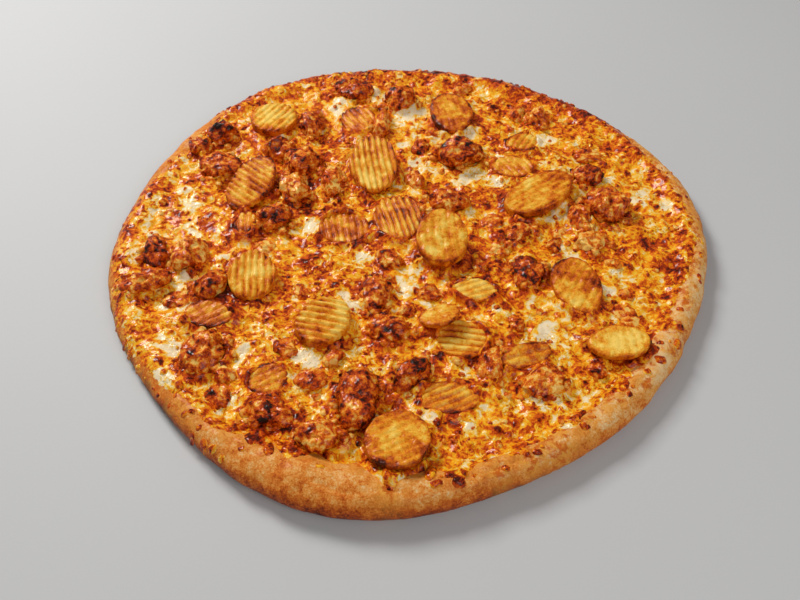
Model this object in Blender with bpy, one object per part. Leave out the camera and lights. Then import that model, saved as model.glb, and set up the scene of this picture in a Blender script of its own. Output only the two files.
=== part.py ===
"""Buffalo chicken pizza, baked whole: a rimmed crust, a sheet of melted cheese, crinkle-cut potato
rounds and chunks of sauced chicken. Metres, +Z up, resting on Z = 0 with the origin under its middle,
and the side that the eater sees first towards -Y."""

import math
from collections import namedtuple

import bmesh
import bpy
import numpy as np
from mathutils import Vector
from mathutils.geometry import delaunay_2d_cdt

MM = 0.001

# Driving sizes
MEAN_RADIUS = 179 * MM
# The outline departs from a circle by a few long waves: (waves in a turn, size in mm, phase in degrees).
OUTLINE_WAVES = ((1, 6.5, 137), (2, 2.0, 80), (3, 4.5, 46), (4, 1.0, 18), (5, 1.0, 207), (6, 1.5, 71))
TURN_STEPS = 80

# Round the rim, at an angle in degrees from +X: the bare crust's width and the crest's height, in mm.
BARE_CRUST = (
    (0, 7), (15, 9), (25, 10), (40, 4), (60, 4), (90, 6), (117, 4), (133, 4), (145, 11), (153, 12),
    (163, 5), (180, 4), (213, 5), (227, 9), (234, 18), (243, 25), (252, 31), (261, 28), (271, 18),
    (290, 14), (302, 12), (316, 16), (338, 16), (350, 9),
)
CREST = ((0, 15), (40, 13), (90, 13), (135, 13), (180, 12), (215, 12), (235, 17), (255, 19), (280, 17), (330, 15))
RIM_WIDTH = 24 * MM
RIM_BEYOND_BARE = 9 * MM
CREST_SHARE = 0.42
WIDEST_SHARE = 0.42
FOOT_INSET = 8 * MM
FLOOR = 7.0 * MM

CHEESE_THICK = 4.6 * MM
CHEESE_EDGE_THICK = 1.3 * MM
CHEESE_LEAST = 0.6 * MM
CHEESE_CELL = 8.6 * MM
CHEESE_SWELL = 0.7 * MM
SWELL_ALONG_X = 21 * MM
SWELL_ALONG_Y = 17 * MM
CHEESE_RELIEF = 0.6 * MM
RELIEF_ALONG_X = 3.1 * MM
RELIEF_ALONG_Y = 3.7 * MM
RELIEF_BEND = 5.5 * MM
GAP = 0.3 * MM

BED_SINK = 1.5 * MM
BED_ALLOWANCE = 1.7 * MM
FOOTPRINT_MARGIN = 1.12

CRINKLE_PITCH = 4.2 * MM
LAST_CHORD_SHARE = 0.985

CHUNK_SEGMENTS = 12
CHUNK_RINGS = 7
CHUNK_CENTRE_SHARE = 0.38
CHUNK_LUMPS = 6
LUMP_SPREAD = 0.30
HOLLOW_SHARE = 0.84
LUMP_RISE = 0.24

# Toppings, placed one by one, in mm and degrees
# turn is the long axis and ridges the way the crinkles run, both from +X. A round that leans is
# tilted about its low edge, which lies towards faces. lift is extra height above the cheese.
Round = namedtuple("Round", "x y length width turn ridges thick crinkle tilt faces lift")
ROUNDS = {
    "potato_01": Round(29, 118, 40, 31, 95, 100, 6, 0.3, 4, 270, 1),
    "potato_02": Round(-36, 115, 29, 25, 90, 120, 5, 0.7, 0, 270, 0),
    "potato_03": Round(-94, 112, 34, 31, 60, 60, 8, 0.6, 0, 270, 1),
    "potato_04": Round(76, 89, 23, 17, 10, 60, 4.5, 0.4, 8, 270, 0),
    "potato_05": Round(67, 64, 28, 23, 0, 120, 5, 0.5, 0, 270, 0),
    "potato_06": Round(-24, 60, 44, 32, 90, 100, 6, 1.1, 12, 270, 1.5),
    "potato_07": Round(-101, 43, 46, 27, 66, 140, 6, 0.9, 10, 250, 1.5),
    "potato_08": Round(81, 35, 52, 31, 40, 38, 7, 0.3, 5, 130, 1.5),
    "potato_09": Round(-8, 16, 40, 32, 100, 105, 5.5, 1.1, 0, 270, 0),
    "potato_10": Round(-102, 11, 21, 14, 92, 95, 5, 0.8, 8, 180, 0),
    "potato_11": Round(-41, 8, 32, 28, 0, 100, 5, 0.8, 0, 270, 0),
    "potato_12": Round(18, -10, 38, 31, 82, 95, 6, 0.4, 12, 290, 5.5),
    "potato_13": Round(-92, -35, 33, 28, 95, 92, 6, 0.9, 10, 270, 1),
    "potato_14": Round(94, -42, 40, 29, 103, 60, 6, 0.3, 6, 270, 0.5),
    "potato_15": Round(36, -42, 27, 17, -10, 20, 4.5, 0.5, 0, 270, 0),
    "potato_16": Round(-114, -61, 28, 18, -5, 30, 4.5, 0.4, 10, 270, 0),
    "potato_17": Round(15, -67, 24, 17, 20, 20, 4.5, 0.3, 14, 120, 5.5),
    "potato_18": Round(-49, -69, 33, 30, 60, 165, 8, 0.9, 4, 200, 1),
    "potato_19": Round(27, -78, 30, 27, 0, 170, 5, 0.9, 0, 270, 0),
    "potato_20": Round(111, -83, 34, 23, 0, 90, 5, 0.3, 0, 270, 0),
    "potato_21": Round(61, -90, 30, 13, 18, 18, 4.5, 0.3, 16, 290, 0),
    "potato_22": Round(-76, -104, 22, 20, 30, 30, 4.5, 0.3, 0, 270, 0),
    "potato_23": Round(18, -116, 32, 21, 0, 25, 4.5, 0.8, 0, 270, -0.5),
    "potato_24": Round(-8, -144, 36, 33, 75, 30, 5.5, 0.8, 0, 270, 0.5),
}

Chunk = namedtuple("Chunk", "x y length width turn height seed")
CHUNKS = {
    "chicken_01": Chunk(-39, 148, 30, 20, 0, 11, 7),
    "chicken_02": Chunk(-6, 134, 23, 20, 20, 15, 8),
    "chicken_03": Chunk(89, 115, 17, 14, 90, 10, 11),
    "chicken_04": Chunk(-67, 108, 25, 17, 100, 12, 6),
    "chicken_05": Chunk(-20, 107, 24, 12, 80, 12, 57),
    "chicken_06": Chunk(-127, 96, 19, 17, 30, 12, 1),
    "chicken_07": Chunk(-141, 84, 16, 12, 80, 9, 2),
    "chicken_08": Chunk(-88, 80, 20, 18, 0, 13, 4),
    "chicken_09": Chunk(33, 75, 34, 25, 5, 15, 9),
    "chicken_10": Chunk(-124, 65, 29, 23, -20, 12, 3),
    "chicken_11": Chunk(-70, 65, 27, 23, 20, 15, 5),
    "chicken_12": Chunk(115, 54, 19, 16, 0, 10, 15),
    "chicken_13": Chunk(-50, 48, 26, 15, 95, 11, 20),
    "chicken_14": Chunk(-74, 41, 24, 20, 80, 13, 21),
    "chicken_15": Chunk(23, 30, 26, 19, 5, 11, 18),
    "chicken_16": Chunk(122, 24, 30, 27, 60, 15, 13),
    "chicken_17": Chunk(104, 16, 25, 14, 95, 10, 14),
    "chicken_18": Chunk(-85, 15, 24, 19, 20, 12, 22),
    "chicken_19": Chunk(64, 4, 21, 14, 30, 9, 62),
    "chicken_20": Chunk(108, -5, 20, 16, 0, 8, 16),
    "chicken_21": Chunk(-151, -14, 25, 16, 105, 11, 23),
    "chicken_22": Chunk(-133, -16, 26, 22, 80, 12, 24),
    "chicken_23": Chunk(67, -30, 24, 20, 70, 10, 41),
    "chicken_24": Chunk(-153, -38, 28, 16, 20, 8, 25),
    "chicken_25": Chunk(-116, -40, 23, 19, 30, 11, 26),
    "chicken_26": Chunk(-20, -46, 27, 18, 80, 10, 30),
    "chicken_27": Chunk(-13, -72, 24, 17, 0, 9, 31),
    "chicken_28": Chunk(-112, -88, 28, 25, 60, 12, 27),
    "chicken_29": Chunk(44, -93, 24, 15, 70, 9, 36),
    "chicken_30": Chunk(-1, -103, 30, 14, 52, 12, 33),
    "chicken_31": Chunk(68, -106, 24, 18, 20, 10, 37),
    "chicken_32": Chunk(-29, -120, 38, 22, 85, 16, 32),
    "chicken_33": Chunk(-73, -125, 28, 15, -20, 8, 35),
    "chicken_34": Chunk(-47, -141, 22, 18, 0, 8, 34),
}

# Lesser bits of chicken that melted into the cheese and stand out of it as low mounds.
Bit = namedtuple("Bit", "x y size height")
BITS = (
    Bit(38, 153, 15, 5), Bit(76, 123, 15, 5), Bit(6, 86, 15, 5), Bit(3, 53, 16, 6), Bit(16, 102, 10, 3),
    Bit(50, 14, 17, 3), Bit(86, -6, 12, 4), Bit(91, 6, 10, 4), Bit(52, -11, 13, 4), Bit(40, -24, 12, 4),
    Bit(-13, -17, 16, 5), Bit(-88, -8, 15, 3), Bit(-63, -43, 13, 4), Bit(-69, -83, 15, 4), Bit(-43, -90, 13, 4),
    Bit(-101, -115, 17, 5), Bit(-99, -101, 13, 4), Bit(10, -43, 15, 5), Bit(-4, -57, 12, 4), Bit(57, -66, 12, 4),
    Bit(98, -98, 11, 5), Bit(121, -60, 22, 3), Bit(119, -21, 10, 4), Bit(122, -45, 10, 4), Bit(118, 78, 19, 3),
    Bit(-53, -103, 18, 3), Bit(-134, -48, 18, 2),
)

# Finishes: colour, roughness
BAKED_CRUST = ((0.62, 0.30, 0.09), 0.65)
MELTED_CHEESE = ((0.85, 0.47, 0.12), 0.40)
FRIED_POTATO = ((0.80, 0.48, 0.11), 0.45)
SAUCED_CHICKEN = ((0.38, 0.12, 0.03), 0.45)


# The crust's form
def outline_radius(angle):
    """Distance from the outline's pole to the crust's edge."""
    waves = sum(size * MM * np.cos(n * angle - math.radians(phase)) for n, size, phase in OUTLINE_WAVES)
    return MEAN_RADIUS + waves


def round_the_rim(table, angle):
    """A size from a table of (angle in degrees, mm), joined smoothly round the rim."""
    degrees, sizes = np.array(table, float).T
    spread = np.radians(4.0) * np.arange(-2, 3)
    around = np.degrees(np.add.outer(angle, spread)) % 360
    return np.interp(around, degrees, sizes, period=360).mean(axis=-1) * MM


def outline_middle():
    """Middle of the outline's box, which becomes the origin."""
    angle = np.arange(TURN_STEPS) * math.tau / TURN_STEPS
    x, y = outline_radius(angle) * np.cos(angle), outline_radius(angle) * np.sin(angle)
    return np.array([x.max() + x.min(), y.max() + y.min()]) / 2


MIDDLE = outline_middle()


def crust_top(inset, angle):
    """Height of the crust at a distance in from its edge: a round shoulder up to the crest, then an
    eased fall to the floor that the cheese lies on."""
    bare = round_the_rim(BARE_CRUST, angle)
    crest = round_the_rim(CREST, angle)
    rim = np.maximum(RIM_WIDTH, bare + RIM_BEYOND_BARE)
    top_at = CREST_SHARE * rim
    up = np.sqrt(1 - (1 - np.clip(inset / top_at, 0, 1)) ** 2)
    shoulder = crest * (WIDEST_SHARE + (1 - WIDEST_SHARE) * up)
    down = 0.5 + 0.5 * np.cos(math.pi * np.clip((inset - top_at) / (rim - top_at), 0, 1))
    return np.where(inset < top_at, shoulder, FLOOR + (crest - FLOOR) * down)


def edge_place(x, y):
    """(distance in from the crust's edge, angle) of points in plan."""
    px, py = x + MIDDLE[0], y + MIDDLE[1]
    angle = np.arctan2(py, px)
    return outline_radius(angle) - np.hypot(px, py), angle


def cheese_level(x, y):
    """Height of the cheese before its fine relief: thin where it ends on the rim, full on the floor."""
    inset, angle = edge_place(x, y)
    bare = round_the_rim(BARE_CRUST, angle)
    rim = np.maximum(RIM_WIDTH, bare + RIM_BEYOND_BARE)
    full = np.clip((inset - bare) / (rim - bare), 0, 1)
    thick = CHEESE_EDGE_THICK + (CHEESE_THICK - CHEESE_EDGE_THICK) * full
    swell = CHEESE_SWELL * np.sin(x / SWELL_ALONG_X + 1) * np.cos(y / SWELL_ALONG_Y) * full
    return crust_top(inset, angle) + thick + swell


# Where a topping lies
def axes_of(turn):
    """Unit vectors along and across a topping, in plan."""
    a = math.radians(turn)
    return np.array([math.cos(a), math.sin(a)]), np.array([-math.sin(a), math.cos(a)])


def footprint_points(topping, count=12):
    """The middle of a topping and points round its outline, in plan."""
    along, across = axes_of(topping.turn)
    angle = np.arange(count) * math.tau / count
    ring = np.outer(np.cos(angle), along) * topping.length / 2 + np.outer(np.sin(angle), across) * topping.width / 2
    return np.vstack([[0, 0], ring]) * MM + np.array([topping.x, topping.y]) * MM


def bed_of(topping):
    """The plane under a topping as (height at its middle, slope along X, slope along Y): the cheese's
    own slope there, sunk a little, but nowhere too near the crust."""
    points = footprint_points(topping)
    offsets = points - points[0]
    level = cheese_level(points[:, 0], points[:, 1])
    slope = np.linalg.lstsq(offsets[1:], level[1:] - level[1:].mean(), rcond=None)[0]
    inset, angle = edge_place(points[:, 0], points[:, 1])
    needed = crust_top(inset, angle) + BED_ALLOWANCE - offsets @ slope
    height = max(level.mean() - BED_SINK, needed.max())
    return np.array([height, slope[0], slope[1]])


def seat_of(topping):
    """The plane under a round: its bed, raised by lift and tilted about its low edge."""
    height, slope_x, slope_y = bed_of(topping)
    downhill, _ = axes_of(topping.faces)
    lean = math.tan(math.radians(topping.tilt))
    height += topping.lift * MM + lean * reach(topping, downhill)
    return np.array([height, slope_x - lean * downhill[0], slope_y - lean * downhill[1]])


def reach(topping, direction):
    """How far a topping's outline goes from its middle in a direction."""
    along, across = axes_of(topping.turn)
    return MM / 2 * math.hypot(topping.length * (direction @ along), topping.width * (direction @ across))


# Building meshes
def finish_material(name, finish):
    colour, roughness = finish
    material = bpy.data.materials.new(name)
    material.use_nodes = True
    shader = material.node_tree.nodes["Principled BSDF"]
    shader.inputs["Base Color"].default_value = (*colour, 1.0)
    shader.inputs["Roughness"].default_value = roughness
    shader.inputs["Metallic"].default_value = 0.0
    material.diffuse_color = (*colour, 1.0)
    return material


def add_object(name, mesh_builder, material, parent, location=(0, 0, 0)):
    """An object from a bmesh, with its faces turned outwards."""
    bmesh.ops.recalc_face_normals(mesh_builder, faces=mesh_builder.faces)
    if mesh_builder.calc_volume(signed=True) < 0:
        bmesh.ops.reverse_faces(mesh_builder, faces=mesh_builder.faces)
    mesh = bpy.data.meshes.new(name)
    mesh_builder.to_mesh(mesh)
    mesh_builder.free()
    mesh.shade_smooth()
    mesh.set_sharp_from_angle(angle=math.radians(50))
    mesh.materials.append(material)
    made = bpy.data.objects.new(name, mesh)
    made.parent = parent
    made.location = location
    bpy.context.collection.objects.link(made)
    return made


def add_ring(builder, inset, angle, height):
    """A closed ring of vertices at a distance in from the crust's edge."""
    radius = outline_radius(angle) - inset
    x = radius * np.cos(angle) - MIDDLE[0]
    y = radius * np.sin(angle) - MIDDLE[1]
    return [builder.verts.new(p) for p in zip(x, y, np.broadcast_to(height, x.shape))]


def bridge(builder, ring_a, ring_b):
    count = len(ring_a)
    for i in range(count):
        j = (i + 1) % count
        builder.faces.new((ring_a[i], ring_a[j], ring_b[j], ring_b[i]))


def fan(builder, ring, height):
    middle = builder.verts.new((*np.mean([v.co[:2] for v in ring], axis=0), height))
    for i, v in enumerate(ring):
        builder.faces.new((v, ring[(i + 1) % len(ring)], middle))


RIM_ANGLES = np.arange(TURN_STEPS) * math.tau / TURN_STEPS
BARE_STEPS = (0.05, 0.22, 0.48, 0.75)
COVERED_STEPS = (0.0, 0.2, 0.45, 0.7, 1.0)


def covered_insets():
    """Distances in from the edge, from where the cheese ends to the flat floor."""
    bare = round_the_rim(BARE_CRUST, RIM_ANGLES)
    rim = np.maximum(RIM_WIDTH, bare + RIM_BEYOND_BARE)
    return [bare + (rim - bare) * step for step in COVERED_STEPS]


def build_crust(material, parent):
    """The crust: a flat underside, a rounded edge, the risen rim and the floor inside it."""
    builder = bmesh.new()
    crest = round_the_rim(CREST, RIM_ANGLES)
    bare = round_the_rim(BARE_CRUST, RIM_ANGLES)
    profile = [
        (FOOT_INSET, 0.0),
        (FOOT_INSET * (1 - math.cos(math.pi / 4)), WIDEST_SHARE * crest * (1 - math.sin(math.pi / 4))),
        (0.0, WIDEST_SHARE * crest),
    ]
    profile += [(bare * step, crust_top(bare * step, RIM_ANGLES)) for step in BARE_STEPS]
    profile += [(inset, crust_top(inset, RIM_ANGLES)) for inset in covered_insets()]
    rings = [add_ring(builder, inset, RIM_ANGLES, height) for inset, height in profile]
    for lower, upper in zip(rings, rings[1:]):
        bridge(builder, lower, upper)
    fan(builder, rings[0], 0.0)
    fan(builder, rings[-1], FLOOR)
    return add_object("crust", builder, material, parent)


def touches_footprint(corners, topping):
    """Which triangles, given as corners in plan, meet a topping's outline with a little margin. The
    outline becomes a unit circle, and a triangle meets it if a side comes nearer than 1 to its middle
    or the middle is inside."""
    along, across = axes_of(topping.turn)
    local = (corners - np.array([topping.x, topping.y]) * MM) @ np.stack([along, across]).T
    local = local / (np.array([topping.length, topping.width]) * MM / 2 * FOOTPRINT_MARGIN + 0.5 * MM)
    starts, ends = local, np.roll(local, -1, axis=1)
    sides = ends - starts
    share = np.clip(-(starts * sides).sum(-1) / (sides**2).sum(-1), 0, 1)
    nearest = np.hypot(*np.moveaxis(starts + share[..., None] * sides, -1, 0)).min(axis=1)
    turns = starts[..., 0] * sides[..., 1] - starts[..., 1] * sides[..., 0]
    inside = (turns > 0).all(axis=1) | (turns < 0).all(axis=1)
    return (nearest < 1) | inside


def relief_height(x, y):
    """Swells of the baked cheese and the mounds of chicken bits in it."""
    wander_x = 2 * np.sin(y / RELIEF_BEND)
    wander_y = np.sin(x / RELIEF_BEND)
    height = CHEESE_RELIEF * np.sin(x / RELIEF_ALONG_X + wander_x) * np.cos(y / RELIEF_ALONG_Y + wander_y)
    for bit in BITS:
        away = np.hypot(x - bit.x * MM, y - bit.y * MM) / (bit.size * MM / 2)
        height = height + bit.height * MM * np.exp(-(away**2))
    return height


def cheese_middle_points(boundary):
    """Points of a triangular lattice inside the boundary ring, clear of it."""
    rows = np.arange(-25, 26)
    columns, lines = np.meshgrid(rows, rows)
    x = (columns + 0.5 * (lines % 2)) * CHEESE_CELL
    y = lines * CHEESE_CELL * math.sqrt(3) / 2
    x, y = x.ravel(), y.ravel()
    inset, angle = edge_place(x, y)
    edge = np.interp(angle, RIM_ANGLES, boundary, period=math.tau)
    keep = inset > edge + 0.55 * CHEESE_CELL
    return np.stack([x[keep], y[keep]], axis=1)


def build_cheese(material, parent, toppings):
    """The cheese: an underside that follows the crust a gap above it, and a top with a shallow pocket
    under each topping."""
    insets = covered_insets()
    builder = bmesh.new()
    under = [add_ring(builder, i, RIM_ANGLES, crust_top(i, RIM_ANGLES) + GAP) for i in insets]
    over = [add_ring(builder, i, RIM_ANGLES, 0.0) for i in insets]
    for outer, inner in zip(under, under[1:]):
        bridge(builder, outer, inner)
    for outer, inner in zip(over, over[1:]):
        bridge(builder, outer, inner)
    bridge(builder, under[0], over[0])
    fan(builder, under[-1], FLOOR + GAP)

    ring = [Vector(v.co[:2]) for v in over[-1]]
    middle = [Vector(p) for p in cheese_middle_points(insets[-1])]
    loop = [(i, (i + 1) % TURN_STEPS) for i in range(TURN_STEPS)]
    points, _, faces, *_ = delaunay_2d_cdt(ring + middle, loop, [], 1, 1e-7)
    top = over[-1] + [builder.verts.new((*p, 0.0)) for p in points[TURN_STEPS:]]
    for face in faces:
        builder.faces.new([top[i] for i in face])

    bmesh.ops.triangulate(builder, faces=builder.faces)
    shape_cheese_top(builder, set(v for r in over for v in r) | set(top), set(over[0]), toppings)
    return add_object("cheese", builder, material, parent)


def shape_cheese_top(builder, top_vertices, edge_vertices, toppings):
    """Raises the flat top to the cheese's level and relief, then presses it clear of each topping."""
    builder.verts.index_update()
    place = np.array([v.co for v in builder.verts])
    is_top = np.array([v in top_vertices for v in builder.verts])
    is_edge = np.array([v in edge_vertices for v in builder.verts])
    x, y = place[:, 0], place[:, 1]
    inset, angle = edge_place(x, y)
    lowest = crust_top(inset, angle) + GAP + CHEESE_LEAST
    height = cheese_level(x, y) + np.where(is_edge, 0, relief_height(x, y))
    top_faces = np.array([[v.index for v in f.verts] for f in builder.faces if all(v in top_vertices for v in f.verts)])
    for topping, (seat, slope_x, slope_y) in toppings:
        under = np.unique(top_faces[touches_footprint(place[top_faces][:, :, :2], topping)])
        plane = seat + slope_x * (x - topping.x * MM) + slope_y * (y - topping.y * MM)
        height[under] = np.minimum(height[under], plane[under] - GAP)
    place[is_top, 2] = np.maximum(height, lowest)[is_top]
    for v in builder.verts:
        v.co = place[v.index]


def build_round(name, topping, material, parent):
    """A crinkle-cut round: a corrugated slab whose crests and valleys are chords of an oval. One chord
    for each crest and valley, at a distance v across the ridges, runs between the two places where
    the oval's edge has that v."""
    ridge, across = axes_of(topping.ridges)
    long_axis, short_axis = axes_of(topping.turn)
    shape = [topping.length * MM / 2, topping.width * MM / 2]
    form = sum(np.outer(axis, axis) / size**2 for axis, size in zip((long_axis, short_axis), shape))
    uu, uv, vv = ridge @ form @ ridge, ridge @ form @ across, across @ form @ across
    widest = math.sqrt(uu / (uu * vv - uv**2))
    steps = round(2 * widest / CRINKLE_PITCH)
    seat, slope_x, slope_y = seat_of(topping)
    depth = topping.crinkle * MM

    builder = bmesh.new()
    chords = []
    for i in range(-steps, steps + 1):
        v = widest * LAST_CHORD_SHARE * i / steps
        half = math.sqrt(max(0.0, (uv * v) ** 2 - uu * (vv * v * v - 1))) / uu
        wave = depth * (1 if i % 2 else -1)
        corners = []
        for u in (-uv * v / uu - half, -uv * v / uu + half):
            x, y = u * ridge + v * across
            under = slope_x * x + slope_y * y
            for z in (under + depth + wave, under + topping.thick * MM - depth + wave):
                corners.append(builder.verts.new((x, y, z)))
        chords.append(corners)
    for (a0, a1, a2, a3), (b0, b1, b2, b3) in zip(chords, chords[1:]):
        builder.faces.new((a0, b0, b2, a2))
        builder.faces.new((a1, a3, b3, b1))
        builder.faces.new((a0, a1, b1, b0))
        builder.faces.new((a2, b2, b3, a3))
    for c0, c1, c2, c3 in (chords[0], chords[-1]):
        builder.faces.new((c0, c1, c3, c2))
    bmesh.ops.triangulate(builder, faces=builder.faces)
    return add_object(name, builder, material, parent, (topping.x * MM, topping.y * MM, seat))


def chunk_middle(chunk):
    height, *_ = bed_of(chunk)
    return np.array([chunk.x * MM, chunk.y * MM, height + CHUNK_CENTRE_SHARE * chunk.height * MM])


def walls_of(chunk):
    """Planes that a chunk stays behind, as (outward normal, distance from its middle): its bed, and one
    against each topping near it. A round is met at its edge or, if it lies higher, at its underside.
    Two chunks share the space between them."""
    centre = chunk_middle(chunk)
    height, slope_x, slope_y = bed_of(chunk)
    down = np.array([slope_x, slope_y, -1.0]) / math.sqrt(1 + slope_x**2 + slope_y**2)
    walls = [(down, (centre[2] - height) * -down[2])]
    for other in list(ROUNDS.values()) + list(CHUNKS.values()):
        if other is chunk:
            continue
        offset = np.array([other.x * MM, other.y * MM]) - centre[:2]
        away = math.hypot(*offset)
        side = offset / away
        mine, its = reach(chunk, side) * FOOTPRINT_MARGIN, reach(other, side) * FOOTPRINT_MARGIN
        if away > mine + its + 2 * GAP:
            continue
        if isinstance(other, Chunk):
            walls.append((np.array([*side, 0.0]), away * mine / (mine + its) - GAP))
            continue
        beside = away - reach(other, side) - 2 * GAP
        seat, sx, sy = seat_of(other)
        up = np.array([-sx, -sy, 1.0]) / math.sqrt(1 + sx**2 + sy**2)
        below = (np.array([other.x * MM, other.y * MM, seat]) - centre) @ up - 2 * GAP
        top_reach = (1 - CHUNK_CENTRE_SHARE) * chunk.height * MM
        if beside / mine >= below / top_reach:
            walls.append((np.array([*side, 0.0]), beside))
        else:
            walls.append((up, below))
    return walls


def chunk_radius(chunk, direction):
    """How far a chunk's surface is from its middle along unit directions: an ellipsoid with a few
    rounded lobes, cut back to its walls."""
    along, across = axes_of(chunk.turn)
    sizes = np.array([chunk.length / 2, chunk.width / 2, (1 - CHUNK_CENTRE_SHARE) * chunk.height]) * MM
    local = np.stack([direction[..., :2] @ along, direction[..., :2] @ across, direction[..., 2]], axis=-1)
    radius = 1 / np.sqrt(((local / sizes) ** 2).sum(-1))
    draw = np.random.default_rng(chunk.seed)
    lobes = draw.normal(size=(CHUNK_LUMPS, 3))
    lobes /= np.linalg.norm(lobes, axis=1)[:, None]
    swell = np.exp(-(((1 - local @ lobes.T) / LUMP_SPREAD) ** 2)).max(axis=-1)
    radius = radius * (HOLLOW_SHARE + LUMP_RISE * swell)
    for normal, distance in walls_of(chunk):
        facing = direction @ normal
        radius = np.where(facing > 1e-6, np.minimum(radius, distance / np.maximum(facing, 1e-6)), radius)
    return radius


def build_chunk(name, chunk, material, parent):
    """A chunk of chicken: a sphere's grid, each point moved to the chunk's surface."""
    builder = bmesh.new()
    bmesh.ops.create_uvsphere(builder, u_segments=CHUNK_SEGMENTS, v_segments=CHUNK_RINGS, radius=1.0)
    directions = np.array([v.co.normalized() for v in builder.verts])
    radii = chunk_radius(chunk, directions)
    for v, direction, radius in zip(builder.verts, directions, radii):
        v.co = direction * radius
    bmesh.ops.triangulate(builder, faces=builder.faces)
    return add_object(name, builder, material, parent, chunk_middle(chunk))


def main():
    for old in list(bpy.data.objects):
        bpy.data.objects.remove(old, do_unlink=True)
    pizza = bpy.data.objects.new("pizza", None)
    bpy.context.collection.objects.link(pizza)
    crust = finish_material("baked_crust", BAKED_CRUST)
    cheese = finish_material("melted_cheese", MELTED_CHEESE)
    potato = finish_material("fried_potato", FRIED_POTATO)
    chicken = finish_material("sauced_chicken", SAUCED_CHICKEN)
    toppings = [(t, seat_of(t)) for t in ROUNDS.values()] + [(t, bed_of(t)) for t in CHUNKS.values()]
    build_crust(crust, pizza)
    build_cheese(cheese, pizza, toppings)
    for name, topping in ROUNDS.items():
        build_round(name, topping, potato, pizza)
    for name, chunk in CHUNKS.items():
        build_chunk(name, chunk, chicken, pizza)


main()
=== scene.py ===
# %% [markdown]
# A buffalo chicken pizza, as a lesson in making baked food from arrays of numbers. The solids that
# carry it are already made: a crust, a sheet of cheese, 24 potato rounds and 34 chunks of chicken.
# Each of them is dressed here with a finer surface of the same form, and with a material that knows
# where the food is browned, creamy or oily.

# %% The solids
import itertools
import math
from collections import namedtuple

import bpy
import numpy as np
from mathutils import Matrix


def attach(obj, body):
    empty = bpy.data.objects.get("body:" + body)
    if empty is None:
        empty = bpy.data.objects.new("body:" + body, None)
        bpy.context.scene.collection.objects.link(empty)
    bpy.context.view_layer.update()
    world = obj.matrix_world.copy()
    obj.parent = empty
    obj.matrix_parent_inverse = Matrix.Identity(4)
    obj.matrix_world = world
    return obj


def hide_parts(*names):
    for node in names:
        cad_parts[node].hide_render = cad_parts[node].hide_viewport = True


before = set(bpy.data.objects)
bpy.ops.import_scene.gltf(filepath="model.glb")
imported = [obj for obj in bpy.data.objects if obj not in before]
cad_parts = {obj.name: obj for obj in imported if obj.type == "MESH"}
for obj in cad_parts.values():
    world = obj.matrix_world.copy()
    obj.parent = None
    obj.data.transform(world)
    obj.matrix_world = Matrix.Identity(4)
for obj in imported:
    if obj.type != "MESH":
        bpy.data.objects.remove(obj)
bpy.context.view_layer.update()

print("solids:", len(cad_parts))

# %% [markdown]
# Everything below is written in millimetres and turned into metres as it is built. Colours are
# written as a screen shows them, 0 to 255, and turned into the linear light that shaders mix.

# %% Units and colours
MM = 0.001


def paint(red, green, blue):
    """A screen colour as linear light: c / 12.92 when dark, else ((c + 0.055) / 1.055) ^ 2.4."""
    c = np.array([red, green, blue]) / 255
    linear = np.where(c <= 0.04045, c / 12.92, ((c + 0.055) / 1.055) ** 2.4)
    return (*linear.tolist(), 1.0)


def ease(low, high, value):
    """0 below low, 1 above high and 3t^2 - 2t^3 between them."""
    t = np.clip((value - low) / (high - low), 0, 1)
    return t * t * (3 - 2 * t)


print("mid grey in linear light:", round(paint(128, 128, 128)[0], 3))

# %% [markdown]
# Baked food is uneven at every size, so most shapes here are a plain form plus noise. Two kinds do
# nearly all of it. Gradient noise gives soft rolling ups and downs: each corner of a lattice has a
# random slope, and a point blends the eight slopes round it. Cell noise gives blisters and crumbs:
# each cell has one random seed point, and a point measures how far the nearest seed is. The last
# number of a noise call picks its pattern, so that no two uses rise and fall together, and the pizza
# comes out the same each time.

# %% Noise
SLOPES = np.random.default_rng(4).normal(size=(1024, 3))
SLOPES /= np.linalg.norm(SLOPES, axis=1)[:, None]
TWIST = np.array([[0.36, 0.48, -0.80], [-0.80, 0.60, 0.0], [0.48, 0.64, 0.60]])
WAVE_GAIN = 1.8


def scramble(cell, seed):
    """A whole number from 0 to 1023 for each lattice cell: its places and the seed, each times a
    large prime, mixed by exclusive or and shifts."""
    mixed = cell[..., 0] * 73856093 ^ cell[..., 1] * 19349663 ^ cell[..., 2] * 83492791 ^ seed * 2654435761
    mixed ^= mixed >> 13
    return (mixed * 1274126177 >> 7) & 1023


def waves(points, size, seed=0):
    """Gradient noise, about -1 to 1, with lumps of a size in mm; points are in mm."""
    p = points @ TWIST.T / size
    cell = np.floor(p).astype(np.int64)
    f = p - cell
    blend = f * f * f * (f * (f * 6 - 15) + 10)
    total = np.zeros(len(p))
    for corner in itertools.product((0, 1), repeat=3):
        slope = SLOPES[scramble(cell + corner, seed)]
        weight = np.prod(np.where(corner, blend, 1 - blend), axis=-1)
        total += weight * ((f - corner) * slope).sum(-1)
    return total * WAVE_GAIN


def rough(points, size, octaves=3, seed=0):
    """Waves with finer and fainter waves on them, each layer half the size of the one before."""
    return sum(waves(points, size / 2**k, seed + k) / 2**k for k in range(octaves))


def cells(points, size, seed=0):
    """(distance to the nearest seed in mm, that seed's own random number 0 to 1), in plan."""
    p = points[:, :2] / size
    home = np.floor(p).astype(np.int64)
    nearest = np.full(len(p), 9.0)
    owner = np.zeros(len(p))
    for step in itertools.product((-1, 0, 1), repeat=2):
        cell = np.column_stack([home + step, np.zeros(len(p), np.int64)])
        seed_at = home + step + np.column_stack([scramble(cell, seed), scramble(cell, seed + 7)]) / 1024
        away = np.hypot(*(p - seed_at).T)
        closer = away < nearest
        nearest = np.where(closer, away, nearest)
        owner = np.where(closer, scramble(cell, seed + 13) / 1023, owner)
    return nearest * size, owner


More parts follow.
